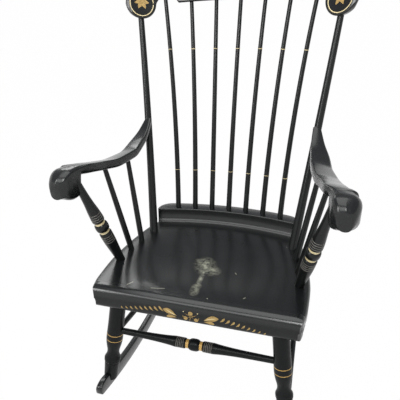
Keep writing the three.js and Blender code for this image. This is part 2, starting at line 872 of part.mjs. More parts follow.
function stretcherProfile(length) {
  const bead = stretcherBeadLength * half;
  const band = bead + stretcherBandLength;
  const swell = band + stretcherSwellLength;
  const halfProfile = [
    [stretcherBeadRadius, bead * half],
    [stretcherBandRadius, bead],
    [stretcherBandRadius, band],
    [stretcherSwellRadius, band + stretcherBandLength * half * half],
    [stretcherSwellEndRadius, swell],
    [stretcherEndRadius, length * half - stretcherTenonLength * 2],
    [stretcherTenonRadius, length * half],
    [0, length * half],
  ];
  const low = halfProfile.map(([radius, height]) => [radius, length * half - height]).reverse();
  const high = halfProfile.map(([radius, height]) => [radius, length * half + height]);
  return [...low, ...high];
}

// A stretcher between two points on leg centre lines, with its ends inside the legs
function stretcherEnds(from, to) {
  const span = from.distanceTo(to);
  const seat = legShoulderRadius - stretcherTenonLength;
  return {
    from: pointAlong(from, to, seat),
    to: pointAlong(from, to, span - seat),
  };
}

const frontStretcherAt = atHeight(frontLeg, frontStretcherZ);
const frontStretcherEnds = stretcherEnds(
  new THREE.Vector3(-frontStretcherAt.x, frontStretcherAt.y, frontStretcherZ), frontStretcherAt);
const rearStretcherAt = atHeight(rearLeg, rearStretcherZ);
const rearStretcherEnds = stretcherEnds(
  new THREE.Vector3(-rearStretcherAt.x, rearStretcherAt.y, rearStretcherZ), rearStretcherAt);
const sideStretcherEnds = stretcherEnds(
  atHeight(frontLeg, sideStretcherFrontZ), atHeight(rearLeg, sideStretcherRearZ));

// Arm screw: from the back of the post, forward and down into the arm

function screwLine() {
  const angle = THREE.MathUtils.degToRad(screwAngle);
  const toward = new THREE.Vector3(0, -Math.cos(angle), -Math.sin(angle));
  const centre = postPath.getPoint(screwPostShare);
  const postRadius = THREE.MathUtils.lerp(postFootRadius, postTopRadius, screwPostShare);
  const head = centre.clone().addScaledVector(toward, screwHeadDepth - postRadius);
  return { head, toward };
}

const screw = screwLine();

function screwGeometry() {
  const tip = screw.head.clone().addScaledVector(screw.toward, screwLength);
  const profile = [
    [0, 0],
    [screwHeadRadius, 0],
    [screwRadius, screwHeadLength],
    [screwRadius, screwLength - screwHeadLength],
    [0, screwLength],
  ];
  return turned(profile, screw.head, tip, socketSides);
}

function screwHole() {
  const outside = screw.head.clone().addScaledVector(screw.toward, -postFootRadius * 2);
  const headEnd = screw.head.clone().addScaledVector(screw.toward, screwHeadLength + fit);
  const tip = screw.head.clone().addScaledVector(screw.toward, screwLength + fit);
  return solidOf(borer(outside, headEnd, plugRadius + fit))
    .add(solidOf(borer(screw.head, tip, screwRadius + fit)));
}

function plugGeometry() {
  const inner = screw.head.clone().addScaledVector(screw.toward, -fit);
  const outer = inner.clone().addScaledVector(screw.toward, -plugLength);
  return bar(inner, outer, plugRadius, socketSides);
}

// Materials

const lacquer = new THREE.MeshStandardMaterial({ color: 0x17191a, roughness: 0.35, metalness: 0 });
const lacquerTurned = new THREE.MeshStandardMaterial({ color: 0x141617, roughness: 0.3, metalness: 0 });
const steel = new THREE.MeshStandardMaterial({ color: 0x8a8c8e, roughness: 0.4, metalness: 1 });

// Assembly

const chair = new THREE.Group();
chair.position.set(0, -frontBackMiddle, 0);

function addPiece(name, geometry, material = lacquer) {
  const mesh = new THREE.Mesh(geometry, material);
  mesh.name = name;
  chair.add(mesh);
}

function addPair(name, geometry, material = lacquer) {
  addPiece(`${name}_right`, geometry, material);
  addPiece(`${name}_left`, mirrored(geometry), material);
}

const mirrorOf = (geometry) => solidOf(mirrored(indexed(geometry)));

function indexed(geometry) {
  const bare = geometry.clone();
  bare.deleteAttribute('normal');
  bare.deleteAttribute('uv');
  return mergeVertices(bare);
}

function cut(solid, cutters) {
  let result = solid;
  cutters.forEach((cutter) => {
    result = result.subtract(cutter);
  });
  return result;
}

const postSockets = socketsOf(postPath, postFootRadius, postTopRadius, postTenonLength);
const supportSockets = straightSockets(supportLine, supportFootRadius, supportTopRadius, supportTenonLength);
const frontSpindleSockets = straightSockets(
  frontArmSpindle, armSpindleFootRadius, armSpindleTopRadius, armSpindleTenonLength);
const rearSpindleSockets = straightSockets(
  rearArmSpindle, armSpindleFootRadius, armSpindleTopRadius, armSpindleTenonLength);
const frontLegSocket = socketFrom(frontLeg, legTenonLength, legTenonRadius);
const rearLegSocket = socketFrom(rearLeg, legTenonLength, legTenonRadius);

const plankCutters = [];
[postSockets.foot, supportSockets.foot, frontSpindleSockets.foot, rearSpindleSockets.foot,
  frontLegSocket, rearLegSocket].forEach((socket) => {
  plankCutters.push(solidOf(socket), mirrorOf(socket));
});
const plank = solidOf(loft(seatStations().map(seatRing)));
addPiece('seat_plank', geometryOf(cut(plank, plankCutters)));

// The roll is coped at the back, where the shoulders of the front legs pass behind it
const legShoulderRoom = borer(
  pointAlong(frontLeg.foot, frontLeg.top, frontLeg.foot.distanceTo(frontLeg.top) - rollDrop * 2),
  pointAlong(frontLeg.top, frontLeg.foot, -rollDrop), legShoulderRadius + fit);
const roll = cut(solidOf(rollGeometry()), [solidOf(legShoulderRoom), mirrorOf(legShoulderRoom)]);
addPiece('seat_front_roll', geometryOf(roll));

const riserCutters = [];
const crestCutters = [solidOf(postSockets.top), mirrorOf(postSockets.top)];
const middleSpindle = (spindleCount - 1) * half;
for (let index = 0; index < spindleCount; index += 1) {
  const path = spindlePath(index - middleSpindle);
  const sockets = socketsOf(path, spindleFootRadius, spindleTopRadius, spindleTenonLength);
  riserCutters.push(solidOf(sockets.foot));
  crestCutters.push(solidOf(sockets.top));
  const stations = stationsAlong(path, spindleFootRadius, spindleTopRadius, spindleTenonLength, bendSteps);
  addPiece(`back_spindle_${index + 1}`, bentRound(stations, spindleSides), lacquerTurned);
}
addPiece('back_riser', geometryOf(cut(solidOf(riserGeometry()), riserCutters)));
const crest = solidOf(crestBoard()).intersect(solidOf(crestOutline()));
addPiece('crest_rail', geometryOf(cut(crest, crestCutters)));

const hole = screwHole();
const postStations = stationsAlong(postPath, postFootRadius, postTopRadius, postTenonLength, bendSteps);
addPair('back_post', geometryOf(solidOf(bentRound(postStations, postSides)).subtract(hole)));

const widePost = postStations.map(({ point, radius }) => ({ point, radius: radius + fit }));
const arm = cut(solidOf(loft(armStations().map(armRing))), [
  solidOf(bentRound(widePost, postSides)), hole, solidOf(supportSockets.top),
  solidOf(frontSpindleSockets.top), solidOf(rearSpindleSockets.top)]);
addPair('arm', geometryOf(arm));

const supportLength = supportLine.foot.distanceTo(supportLine.top);
addPair('arm_support', indexed(turned(
  supportProfile(supportLength), supportLine.foot, supportLine.top, legSides)), lacquerTurned);

function armSpindleGeometry(line) {
  const length = line.foot.distanceTo(line.top);
  const profile = [
    [0, -armSpindleTenonLength],
    [armSpindleFootRadius, -armSpindleTenonLength],
    [armSpindleFootRadius, 0],
    [armSpindleTopRadius, length],
    [0, length],
  ];
  return indexed(turned(profile, line.foot, line.top, spindleSides));
}
addPair('arm_spindle_front', armSpindleGeometry(frontArmSpindle), lacquerTurned);
addPair('arm_spindle_rear', armSpindleGeometry(rearArmSpindle), lacquerTurned);

// Legs, with sockets for the stretchers and holes for the cross pins

const frontPin = legPinLine(frontLeg);
const rearPin = legPinLine(rearLeg);
const deeper = stretcherTenonLength + fit;

function tenonHole(ends, radius) {
  const mouth = pointAlong(ends.to, ends.from, deeper + legCollarRadius);
  const bottom = pointAlong(ends.from, ends.to, ends.from.distanceTo(ends.to) + fit);
  return solidOf(borer(mouth, bottom, radius + fit));
}

function reversed(ends) {
  return { from: ends.to, to: ends.from };
}

function pinHole(pin) {
  return solidOf(borer(pointAlong(pin.from, pin.to, -overrun),
    pointAlong(pin.to, pin.from, -overrun), legPinRadius + fit));
}

const frontLegSolid = cut(legSolid(frontLeg), [
  tenonHole(frontStretcherEnds, stretcherEndRadius),
  tenonHole(reversed(sideStretcherEnds), plainStretcherRadius),
  pinHole(frontPin)]);
const rearLegSolid = cut(legSolid(rearLeg), [
  tenonHole(rearStretcherEnds, plainStretcherRadius),
  tenonHole(sideStretcherEnds, plainStretcherRadius),
  pinHole(rearPin)]);
addPair('leg_front', geometryOf(frontLegSolid), lacquerTurned);
addPair('leg_rear', geometryOf(rearLegSolid), lacquerTurned);
addPair('leg_pin_front', indexed(bar(frontPin.from, frontPin.to, legPinRadius)));
addPair('leg_pin_rear', indexed(bar(rearPin.from, rearPin.to, legPinRadius)));

const rockerHalf = rockerThickness * half;
const rocker = slab(rockerOutline(), rockerCentreX - rockerHalf, rockerCentreX + rockerHalf);
addPair('rocker', geometryOf(cut(solidOf(rocker), [pinHole(frontPin), pinHole(rearPin)])));

const frontSpan = frontStretcherEnds.from.distanceTo(frontStretcherEnds.to);
addPiece('front_stretcher', indexed(turned(
  stretcherProfile(frontSpan), frontStretcherEnds.from, frontStretcherEnds.to, legSides)), lacquerTurned);

function plainStretcher(ends) {
  const span = ends.from.distanceTo(ends.to);
  const profile = [
    [0, 0],
    [plainTenonRadius, 0],
    [plainStretcherRadius, stretcherTenonLength],
    [plainSwellRadius, span * half],
    [plainStretcherRadius, span - stretcherTenonLength],
    [plainTenonRadius, span],
    [0, span],
  ];
  return indexed(turned(profile, ends.from, ends.to, spindleSides));
}
addPiece('rear_stretcher', plainStretcher(rearStretcherEnds), lacquerTurned);
addPair('side_stretcher', plainStretcher(sideStretcherEnds), lacquerTurned);

addPair('arm_screw', indexed(screwGeometry()), steel);
addPair('arm_screw_plug', indexed(plugGeometry()));

export default chair;
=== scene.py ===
# %% [markdown]
# # A Boston rocking chair in black lacquer and gold
# The chair is one glued wooden frame: a plank seat with a rolled front, turned legs, arm supports and
# spindles, a bent back with a crest rail, and two sawn rockers. It is lacquered black and stencilled
# with bronze powder. Here each piece is modelled over a fixed construction frame, which says where it
# is and how large it is. We load that frame first and keep its pieces.

# %% Load the construction frame
import math

import bmesh
import bpy
from mathutils import Matrix, Vector


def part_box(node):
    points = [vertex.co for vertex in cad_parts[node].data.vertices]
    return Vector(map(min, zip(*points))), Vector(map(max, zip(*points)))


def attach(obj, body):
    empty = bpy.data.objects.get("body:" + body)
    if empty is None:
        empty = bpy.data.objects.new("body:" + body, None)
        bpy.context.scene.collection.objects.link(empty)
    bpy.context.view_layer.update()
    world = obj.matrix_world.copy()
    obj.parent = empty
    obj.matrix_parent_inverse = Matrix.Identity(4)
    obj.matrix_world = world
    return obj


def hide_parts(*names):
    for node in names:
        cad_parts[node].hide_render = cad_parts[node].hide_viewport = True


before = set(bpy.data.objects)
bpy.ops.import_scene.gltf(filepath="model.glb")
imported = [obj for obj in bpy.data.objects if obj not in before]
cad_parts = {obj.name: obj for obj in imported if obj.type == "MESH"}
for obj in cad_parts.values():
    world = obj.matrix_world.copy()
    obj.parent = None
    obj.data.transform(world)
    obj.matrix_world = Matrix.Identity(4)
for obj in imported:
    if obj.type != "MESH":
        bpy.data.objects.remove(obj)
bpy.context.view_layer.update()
print("pieces in the frame:", len(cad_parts))

# %% [markdown]
# Sizes are in millimetres, as a joiner writes them, and Blender works in metres. Depths are counted
# from the middle of the seat, heights from the floor. The front roll of the frame tells where that
# middle lies from the frame's own origin, so all places follow the frame. Right and left are as the
# chair is seen from the front.

# %% Units and places
MM = 0.001
SEAT_FRONT = -229.0
roll_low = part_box("seat_front_roll")[0]
middle_y = roll_low.y / MM - SEAT_FRONT


def spot(x, y, z):
    """A place in the scene, from millimetres across, in depth and above the floor."""
    return Vector((x, y + middle_y, z)) * MM


print("the middle of the seat lies at y =", round(middle_y, 1), "mm")

# %% [markdown]
# Two small curves serve everywhere. `smooth_step` eases a value from 0 to 1. `curve_through` reads a
# smooth line through a short table of (place, value) rows and never swings past them, like a thin
# batten held against pins. `spread` sets out evenly spaced values, and `arc` points on a round.

# %% Curves through a few sizes


def smooth_step(value, low, high):
    share = min(max((value - low) / (high - low), 0), 1)
    return share * share * (3 - 2 * share)


def blend(low, high, share):
    return low + (high - low) * share


def spread(low, high, steps):
    """Evenly spaced values from one to the other, both included."""
    return [blend(low, high, step / steps) for step in range(steps + 1)]


def steepness(table, index):
    """How steeply the curve passes a row: level at a peak or a hollow."""
    last = len(table) - 1
    before = max(index - 1, 0)
    after = min(index + 1, last)
    left = (table[index][1] - table[before][1]) / max(table[index][0] - table[before][0], 1)
    right = (table[after][1] - table[index][1]) / max(table[after][0] - table[index][0], 1)
    if index == 0:
        return right
    if index == last:
        return left
    if left * right <= 0:
        return 0
    return 2 * left * right / (left + right)


def curve_through(table, place):
    place = min(max(place, table[0][0]), table[-1][0])
    index = 1
    while index < len(table) - 1 and table[index][0] < place:
        index += 1
    low_place, low_value = table[index - 1]
    high_place, high_value = table[index]
    run = high_place - low_place
    t = (place - low_place) / run
    start = steepness(table, index - 1) * run
    end = steepness(table, index) * run
    value = low_value * (2 * t**3 - 3 * t**2 + 1) + high_value * (3 * t**2 - 2 * t**3)
    return value + start * (t**3 - 2 * t**2 + t) + end * (t**3 - t**2)


def arc(centre, radius, start, end, steps):
    """Points on a round stretch, from one angle to another in degrees."""
    turns = [math.radians(angle) for angle in spread(start, end, steps)]
    return [(centre[0] + radius * math.cos(t), centre[1] + radius * math.sin(t)) for t in turns]


print("half way between two rows:", round(curve_through([(0, 0), (10, 4), (20, 0)], 5), 2))

# %% [markdown]
# Modelling follows what the hands do in edit mode. A disc is added, and its face is extruded from
# section to section, which suits the seat, the crest and the arms. A lathe piece is a disc too, but
# each extrude only goes up and is scaled about the axis. Afterwards doubles are merged and the
# normals are turned outwards. Everything is deselected first, because operators act on all that is
# selected, the frame's pieces included.

# %% Edit-mode helpers
FIRST_RADIUS = 10.0
MERGE_DISTANCE = 0.005
SMOOTH_ANGLE = math.radians(38)


def only(piece):
    bpy.ops.object.select_all(action="DESELECT")
    piece.select_set(True)
    bpy.context.view_layer.objects.active = piece


def disc(name, sides, radius, height=0.0):
    bpy.ops.object.select_all(action="DESELECT")
    bpy.ops.mesh.primitive_circle_add(vertices=sides, radius=radius * MM, fill_type="NGON")
    piece = bpy.context.active_object
    piece.name = name
    piece.data.name = name
    bpy.ops.object.mode_set(mode="EDIT")
    bpy.ops.mesh.select_all(action="SELECT")
    bpy.ops.transform.translate(value=(0, 0, height * MM))
    return piece


def close_up(piece):
    """Leaves edit mode with doubles merged and every face pointing out."""
    bpy.ops.mesh.select_all(action="SELECT")
    bpy.ops.mesh.remove_doubles(threshold=MERGE_DISTANCE * MM)
    bpy.ops.mesh.normals_make_consistent(inside=False)
    bpy.ops.object.mode_set(mode="OBJECT")
    only(piece)
    bpy.ops.object.shade_smooth_by_angle(angle=SMOOTH_ANGLE)


def extrude_through(name, rings):
    """Extrudes a face through rings of places, each ring with as many places as the first."""
    piece = disc(name, len(rings[0]), FIRST_RADIUS)
    mesh = bmesh.from_edit_mesh(piece.data)
    order = {}
    for vertex in mesh.verts:
        vertex.co = rings[0][vertex.index]
        order[tuple(vertex.co)] = vertex.index
    for ring in rings[1:]:
        bpy.ops.mesh.extrude_region()
        mesh = bmesh.from_edit_mesh(piece.data)
        moved = {}
        for vertex in mesh.verts:
            if vertex.select:
                place = order[tuple(vertex.co)]
                vertex.co = ring[place]
                moved[tuple(vertex.co)] = place
        order = moved
    bmesh.update_edit_mesh(piece.data)
    close_up(piece)
    return piece


def turn(name, profile, sides=32):
    """Turns a member that stands on the origin: the profile's rows are (height, radius)."""
    height, radius = profile[0]
    piece = disc(name, sides, radius, height)
    for next_height, next_radius in profile[1:]:
        lift = (0, 0, (next_height - height) * MM)
        bpy.ops.mesh.extrude_region_move(TRANSFORM_OT_translate={"value": lift})
        scale = next_radius / radius
        centre = (0, 0, next_height * MM)
        bpy.ops.transform.resize(value=(scale, scale, 1), center_override=centre)
        height, radius = next_height, next_radius
    close_up(piece)
    return piece


def paint_bands(piece, bands):
    """Gives the faces of a lathe piece between two heights a material slot of their own."""
    for face in piece.data.polygons:
        height = face.center.z / MM
        for low, high, index in bands:
            if low < height < high:
                face.material_index = index


def stand_between(piece, foot, top):
    """Carries a lathe piece from the origin to the line between two places."""
    along = (top - foot).normalized()
    tilt = Vector((0, 0, 1)).rotation_difference(along).to_matrix().to_4x4()
    piece.matrix_world = Matrix.Translation(foot) @ tilt
    only(piece)
    bpy.ops.object.transform_apply(location=True, rotation=True, scale=True)


def mirrored_copy(piece, name):
    """The same piece for the other side, with a mesh of its own."""
    only(piece)
    bpy.ops.object.duplicate()
    copy = bpy.context.active_object
    copy.name = name
    copy.data.name = name
    bpy.ops.object.mode_set(mode="EDIT")
    bpy.ops.mesh.select_all(action="SELECT")
    bpy.ops.transform.resize(value=(-1, 1, 1), center_override=(0, 0, 0))
    bpy.ops.mesh.normals_make_consistent(inside=False)
    bpy.ops.object.mode_set(mode="OBJECT")
    return copy


print("helpers ready")

# %% [markdown]
# Colours are written as sRGB hex values, as a paint chart gives them, and turned to the linear values
# that shaders work in. One function adds a shader node with its fields, its values and the links that
# feed it. Short helpers on top of it stand for the layers that come back, such as a noise, a range, a
# mix or a bump, so each material below reads as a list of its layers.

# %% Material helpers


def linear(hex_colour):
    values = []
    for start in (1, 3, 5):
        value = int(hex_colour[start:start + 2], 16) / 255
        values.append(value / 12.92 if value <= 0.04045 else ((value + 0.055) / 1.055) ** 2.4)
    return (*values, 1.0)


def add_node(material, kind, fields=None, values=None, links=None):
    node = material.node_tree.nodes.new(kind)
    for field, value in (fields or {}).items():
        setattr(node, field, value)
    for socket, value in (values or {}).items():
        node.inputs[socket].default_value = value
    for socket, source in (links or {}).items():
        material.node_tree.links.new(source, node.inputs[socket])
    return node


def new_material(name):
    material = bpy.data.materials.new(name)
    material.use_nodes = True
    material.node_tree.nodes.clear()
    return material


def per_mm(size):
    """A texture's scale from the size of one of its features in millimetres."""
    return 1 / (size * MM)


def split(inputs):
    """Parts a node's inputs into plain values and sockets to link."""
    values, links = {}, {}
    for key, item in inputs.items():
        chosen = links if isinstance(item, bpy.types.NodeSocket) else values
        chosen[key] = item
    return values, links


def noise(material, place, scale, detail, roughness=0.5):
    values = {"Scale": scale, "Detail": detail, "Roughness": roughness}
    return add_node(material, "ShaderNodeTexNoise", None, values, {"Vector": place}).outputs["Fac"]


def ranged(material, value, low, high, to_low=0.0, to_high=1.0, easing="LINEAR"):
    """Carries the stretch from low to high onto another one, and holds it at its ends."""
    values = {"From Min": low, "From Max": high, "To Min": to_low, "To Max": to_high}
    node = add_node(
        material, "ShaderNodeMapRange", {"interpolation_type": easing}, values, {"Value": value})
    return node.outputs["Result"]


def calculate(material, operation, *terms):
    node = add_node(material, "ShaderNodeMath", {"operation": operation}, *split(dict(enumerate(terms))))
    return node.outputs["Value"]


def vector_math(material, operation, inputs, output="Vector"):
    node = add_node(material, "ShaderNodeVectorMath", {"operation": operation}, *split(inputs))
    return node.outputs[output]


def mix_colours(material, share, first, second):
    inputs = split({0: share, 6: first, 7: second})
    return add_node(material, "ShaderNodeMix", {"data_type": "RGBA"}, *inputs).outputs[2]


def bumped(material, height, strength):
    values = {"Strength": strength, "Distance": BRUSH_DEPTH * MM}
    return add_node(material, "ShaderNodeBump", None, values, {"Height": height}).outputs["Normal"]


def object_places(material):
    return add_node(material, "ShaderNodeTexCoord").outputs["Object"]


print("sRGB 128 grey in linear values:", [round(value, 3) for value in linear("#808080")[:3]])

# %% [markdown]
# ## The lacquer
# The finish is black enamel lacquer over maple and pine, brushed and rubbed to a satin shine. Black
# shows little colour of its own, so the look comes from its gloss: a soft sheen that is broken by
# fine brush marks along the grain, cloudy patches where hands and cloth have polished it, and a few
# pale nicks. The same recipe serves boards and turnings with the grain turned along the piece. A coat
# over it stands for the wax polish, thick on the boards that hands reach and thin on the legs.

# %% Black lacquer
LACQUER_DEEP = "#0b0d0d"
LACQUER_WORN = "#1a1b1c"
NICK_COLOUR = "#a09f95"
CLOUD_SIZE = 70.0
GRAIN_WIDTH = 2.2
GRAIN_LENGTH = 60.0
NICK_SIZE = 26.0
NICK_CHANCE = (0.56, 0.72)
NICK_REACH = 0.045
MIDDLE_OF_NOISE = (0.3, 0.7)
BRUSH_DEPTH = 0.05
BRUSH_STRENGTH = 0.35
BOARD_COAT = 0.85
WAXED_COAT = 1.0
TURNED_COAT = 0.48
LEG_COAT = 0.22
SEAT_COAT = 0.8
ALONG_X, ALONG_Y, ALONG_Z = 0, 1, 2


def lacquer_layers(material, grain_axis, gloss):
    """Adds the lacquer's layers and returns their places, colour, roughness and normal."""
    place = object_places(material)
    clouds = noise(material, place, per_mm(CLOUD_SIZE), 3.0, 0.55)
    stretch = [per_mm(GRAIN_WIDTH)] * 3
    stretch[grain_axis] = per_mm(GRAIN_LENGTH)
    stretched = add_node(material, "ShaderNodeMapping", None, {"Scale": stretch}, {"Vector": place})
    grain = noise(material, stretched.outputs["Vector"], 1.0, 4.0, 0.6)
    tone = mix_colours(material, clouds, linear(LACQUER_DEEP), linear(LACQUER_WORN))
    cells = add_node(
        material, "ShaderNodeTexVoronoi", {"feature": "F1"},
        {"Scale": per_mm(NICK_SIZE), "Randomness": 1.0}, {"Vector": place})
    chance = noise(material, place, per_mm(CLOUD_SIZE * 2), 1.0)
    nick_size = ranged(material, chance, *NICK_CHANCE, 0.0, NICK_REACH)
    nick = calculate(material, "LESS_THAN", cells.outputs["Distance"], nick_size)
    colour = mix_colours(material, nick, tone, linear(NICK_COLOUR))
    sheen = ranged(material, clouds, *MIDDLE_OF_NOISE, *gloss)
    return place, colour, sheen, bumped(material, grain, BRUSH_STRENGTH)


def finish_lacquer(material, colour, roughness, normal, coat):
    shader = add_node(
        material, "ShaderNodeBsdfPrincipled", None,
        {"IOR": 1.5, "Specular IOR Level": 0.05, "Coat Roughness": 0.2},
        {"Base Color": colour, "Roughness": roughness, "Normal": normal})
    if isinstance(coat, float):
        shader.inputs["Coat Weight"].default_value = coat
    else:
        material.node_tree.links.new(coat, shader.inputs["Coat Weight"])
    add_node(material, "ShaderNodeOutputMaterial", None, None, {"Surface": shader.outputs["BSDF"]})


def black_lacquer(name, grain_axis, gloss, coat):
    material = new_material(name)
    colour, roughness, normal = lacquer_layers(material, grain_axis, gloss)[1:]
    finish_lacquer(material, colour, roughness, normal, coat)
    return material


board_lacquer = black_lacquer("black_lacquer_on_boards", ALONG_X, (0.34, 0.48), BOARD_COAT)
waxed_lacquer = black_lacquer("waxed_black_lacquer_on_the_riser", ALONG_X, (0.3, 0.44), WAXED_COAT)
arm_lacquer = black_lacquer("black_lacquer_on_arms_and_rockers", ALONG_Y, (0.32, 0.46), BOARD_COAT)
turned_lacquer = black_lacquer("black_lacquer_on_turnings", ALONG_Z, (0.3, 0.44), TURNED_COAT)
leg_lacquer = black_lacquer("worn_black_lacquer_on_the_legs", ALONG_Z, (0.36, 0.5), LEG_COAT)
print("lacquers:", board_lacquer.name, arm_lacquer.name, turned_lacquer.name)

# %% [markdown]
# The seat has the same lacquer, but wear left a pale scuff just in front of its middle, with a trail
# towards the front edge, and five scratches, four of them near that edge. A mark is all that lies
# within reach of a straight stretch, and the scuff is broken up by noise. So the marks are built from
# the distances to a few stretches whose ends are written in millimetres on the seat.

# %% Black lacquer with the seat's scuffs
SCUFF_COLOUR = "#b7b8a4"
SCUFF_STRETCHES = [
    ((-16, -36), (-4, -64), 18.0),
    ((-4, -64), (12, -70), 15.0),
    ((-6, -74), (-4, -140), 4.0),
    ((-4, -152), (-3, -184), 7.0),
]
SCRATCH_STRETCHES = [
    ((-78, -186), (-112, -192), 0.8),
    ((-166, -180), (-176, -194), 1.0),
    ((76, -62), (80, -68), 0.9),
    ((118, -176), (122, -171), 0.9),
    ((34, -196), (38, -206), 0.9),
]
SCUFF_GRAIN = 14.0
SCUFF_SOFTNESS = 0.95
SCRATCH_SOFTNESS = 0.5
SEAT_LEVEL = 345.0
CROWN_POLISH = (324.0, 338.0)


def stretch_distance(material, place, start, end):
    """The distance from the seat's surface to a straight stretch between two spots on it."""
    first = spot(*start, SEAT_LEVEL)
    second = spot(*end, SEAT_LEVEL)
    along = second - first
    offset = vector_math(material, "SUBTRACT", {0: place, 1: first})
    steepened = along / along.length_squared
    progress = vector_math(material, "DOT_PRODUCT", {0: offset, 1: steepened}, "Value")
    held = add_node(
        material, "ShaderNodeClamp", None, {"Min": 0.0, "Max": 1.0}, {"Value": progress})
    reached = vector_math(material, "SCALE", {0: along, "Scale": held.outputs["Result"]})
    rest = vector_math(material, "SUBTRACT", {0: offset, 1: reached})
    return vector_math(material, "LENGTH", {0: rest}, "Value")


def strongest(material, masks):
    """The highest of several masks at each spot."""
    result = masks[0]
    for mask in masks[1:]:
        result = calculate(material, "MAXIMUM", result, mask)
    return result


def stretch_mask(material, place, stretches, softness):
    masks = []
    for start, end, reach in stretches:
        distance = stretch_distance(material, place, start, end)
        fades = (reach * (1 + softness) * MM, reach * (1 - softness) * MM)
        masks.append(ranged(material, distance, *fades))
    return strongest(material, masks)


def scuffed_lacquer(name):
    """The seat's lacquer: the marks are paler and duller than the lacquer round them."""
    material = new_material(name)
    place, colour, roughness, normal = lacquer_layers(material, ALONG_X, (0.3, 0.42))
    level = {"Scale": (1.0, 1.0, 0.0), "Location": (0, 0, SEAT_LEVEL * MM)}
    flat = add_node(material, "ShaderNodeMapping", None, level, {"Vector": place}).outputs["Vector"]
    scatter = noise(material, flat, per_mm(SCUFF_GRAIN), 6.0, 0.7)
    patchy = ranged(material, scatter, 0.38, 0.66, 0.0, 0.75)
    scuff = stretch_mask(material, flat, SCUFF_STRETCHES, SCUFF_SOFTNESS)
    scratch = stretch_mask(material, flat, SCRATCH_STRETCHES, SCRATCH_SOFTNESS)
    marks = strongest(material, [
        calculate(material, "MULTIPLY", scuff, patchy),
        calculate(material, "MULTIPLY", scratch, 0.6)])
    marked = mix_colours(material, marks, colour, linear(SCUFF_COLOUR))
    dulled = calculate(material, "MULTIPLY_ADD", marks, 0.3, roughness)
    finish_lacquer(material, marked, dulled, normal, SEAT_COAT)
    return material


def crown_lacquer(name):
    """The roll's lacquer: clothes have polished its crown, and its upright face stayed dull."""
    material = new_material(name)
    place, colour, roughness, normal = lacquer_layers(material, ALONG_X, (0.34, 0.46))
    parts = add_node(material, "ShaderNodeSeparateXYZ", None, None, {0: place})
    dull, polished = (height * MM for height in CROWN_POLISH)
    polish = ranged(
        material, parts.outputs["Z"], dull, polished, TURNED_COAT, WAXED_COAT, "SMOOTHSTEP")
    finish_lacquer(material, colour, roughness, normal, polish)
    return material


seat_lacquer = scuffed_lacquer("black_lacquer_on_the_seat")
roll_lacquer = crown_lacquer("polished_black_lacquer_on_the_roll")
print("the seat's lacquer has", len(seat_lacquer.node_tree.nodes), "nodes")

# %% [markdown]
# ## Gold and cream
# Stencils are bronze powder pressed on tacky varnish: a dull metal that is thin in places, where the
# black shows through. The rings on the legs and the bands on the front stretcher are yellow ochre
# paint, and those on the arm supports and the spindles are cream. The fine grooves of the turnings are
# coloured pale grey. The two hidden screws are zinc-plated steel.

# %% Bronze powder, ring paints, groove wax and steel
PAINT_STRENGTH = 0.3


def worn_paint(name, fresh, shaded, bare, metallic, roughness, wear, patch_size):
    """A thin paint over lacquer: wear is the share of its area where the black shows."""
    material = new_material(name)
    place = object_places(material)
    patches = noise(material, place, per_mm(patch_size), 5.0, 0.65)
    # The darker second colour of each paint is painted shade, mixed in by these random patches.
    powder_and_shade_patches = noise(material, place, per_mm(patch_size * 2.5), 2.0)
    tone = mix_colours(material, powder_and_shade_patches, linear(fresh), linear(shaded))
    gone = ranged(material, patches, 0.72 - wear, 0.8 - wear)
    colour = mix_colours(material, gone, tone, linear(bare))
    rough = ranged(material, patches, *MIDDLE_OF_NOISE, roughness - 0.08, roughness + 0.1)
    raised = bumped(material, powder_and_shade_patches, PAINT_STRENGTH)
    shader = add_node(
        material, "ShaderNodeBsdfPrincipled", None, {"Metallic": metallic, "IOR": 1.5},
        {"Base Color": colour, "Roughness": rough, "Normal": raised})
    add_node(material, "ShaderNodeOutputMaterial", None, None, {"Surface": shader.outputs["BSDF"]})
    return material


bronze_powder = worn_paint(
    "bronze_powder_stencil", "#c4a562", "#8d7040", "#473d2c",
    metallic=0.15, roughness=0.42, wear=0.12, patch_size=3.0)
ochre_ring = worn_paint(
    "ochre_ring_paint", "#d8b268", "#b38a45", "#4e402b",
    metallic=0.15, roughness=0.4, wear=0.02, patch_size=4.0)
cream_ring = worn_paint(
    "cream_ring_paint", "#ecdfb8", "#d9c48c", "#9d8759",
    metallic=0.1, roughness=0.38, wear=0.02, patch_size=5.0)
# The faces in the fine grooves of the turnings get this pale grey.
groove_grey = worn_paint(
    "pale_grey_in_the_grooves", "#84817a", "#52514c", "#26282b",
    metallic=0.0, roughness=0.45, wear=0.1, patch_size=6.0)
screw_steel = worn_paint(
    "zinc_plated_screw_steel", "#a9abad", "#87898b", "#6f7072",
    metallic=1.0, roughness=0.35, wear=0.0, patch_size=2.0)
print("paints:", bronze_powder.name, ochre_ring.name, cream_ring.name, groove_grey.name)

# %% [markdown]
# A finished piece gets its materials, rides on the chair's one body, and stands in for the frame's
# piece of the same place.


def dress(piece, materials):
    for material in materials:
        piece.data.materials.append(material)


def hand_over(piece, node):
    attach(piece, "root")
    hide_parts(node)


def hand_over_pair(piece, node):
    """The piece on the right as the chair is seen from the front, and its mirror image."""
    other = mirrored_copy(piece, f"shaped_{node}_left")
    hand_over(piece, f"{node}_right")
    hand_over(other, f"{node}_left")


# %% [markdown]
# ## The seat
# The seat is a thick pine plank, wide behind its front corners and narrower at the back, where its
# edge follows the curve of the riser. It is saddled: a shallow dish that fades to the sides. The plank
# is drawn as sections from front to back, and each section carries the dish in its upper line.

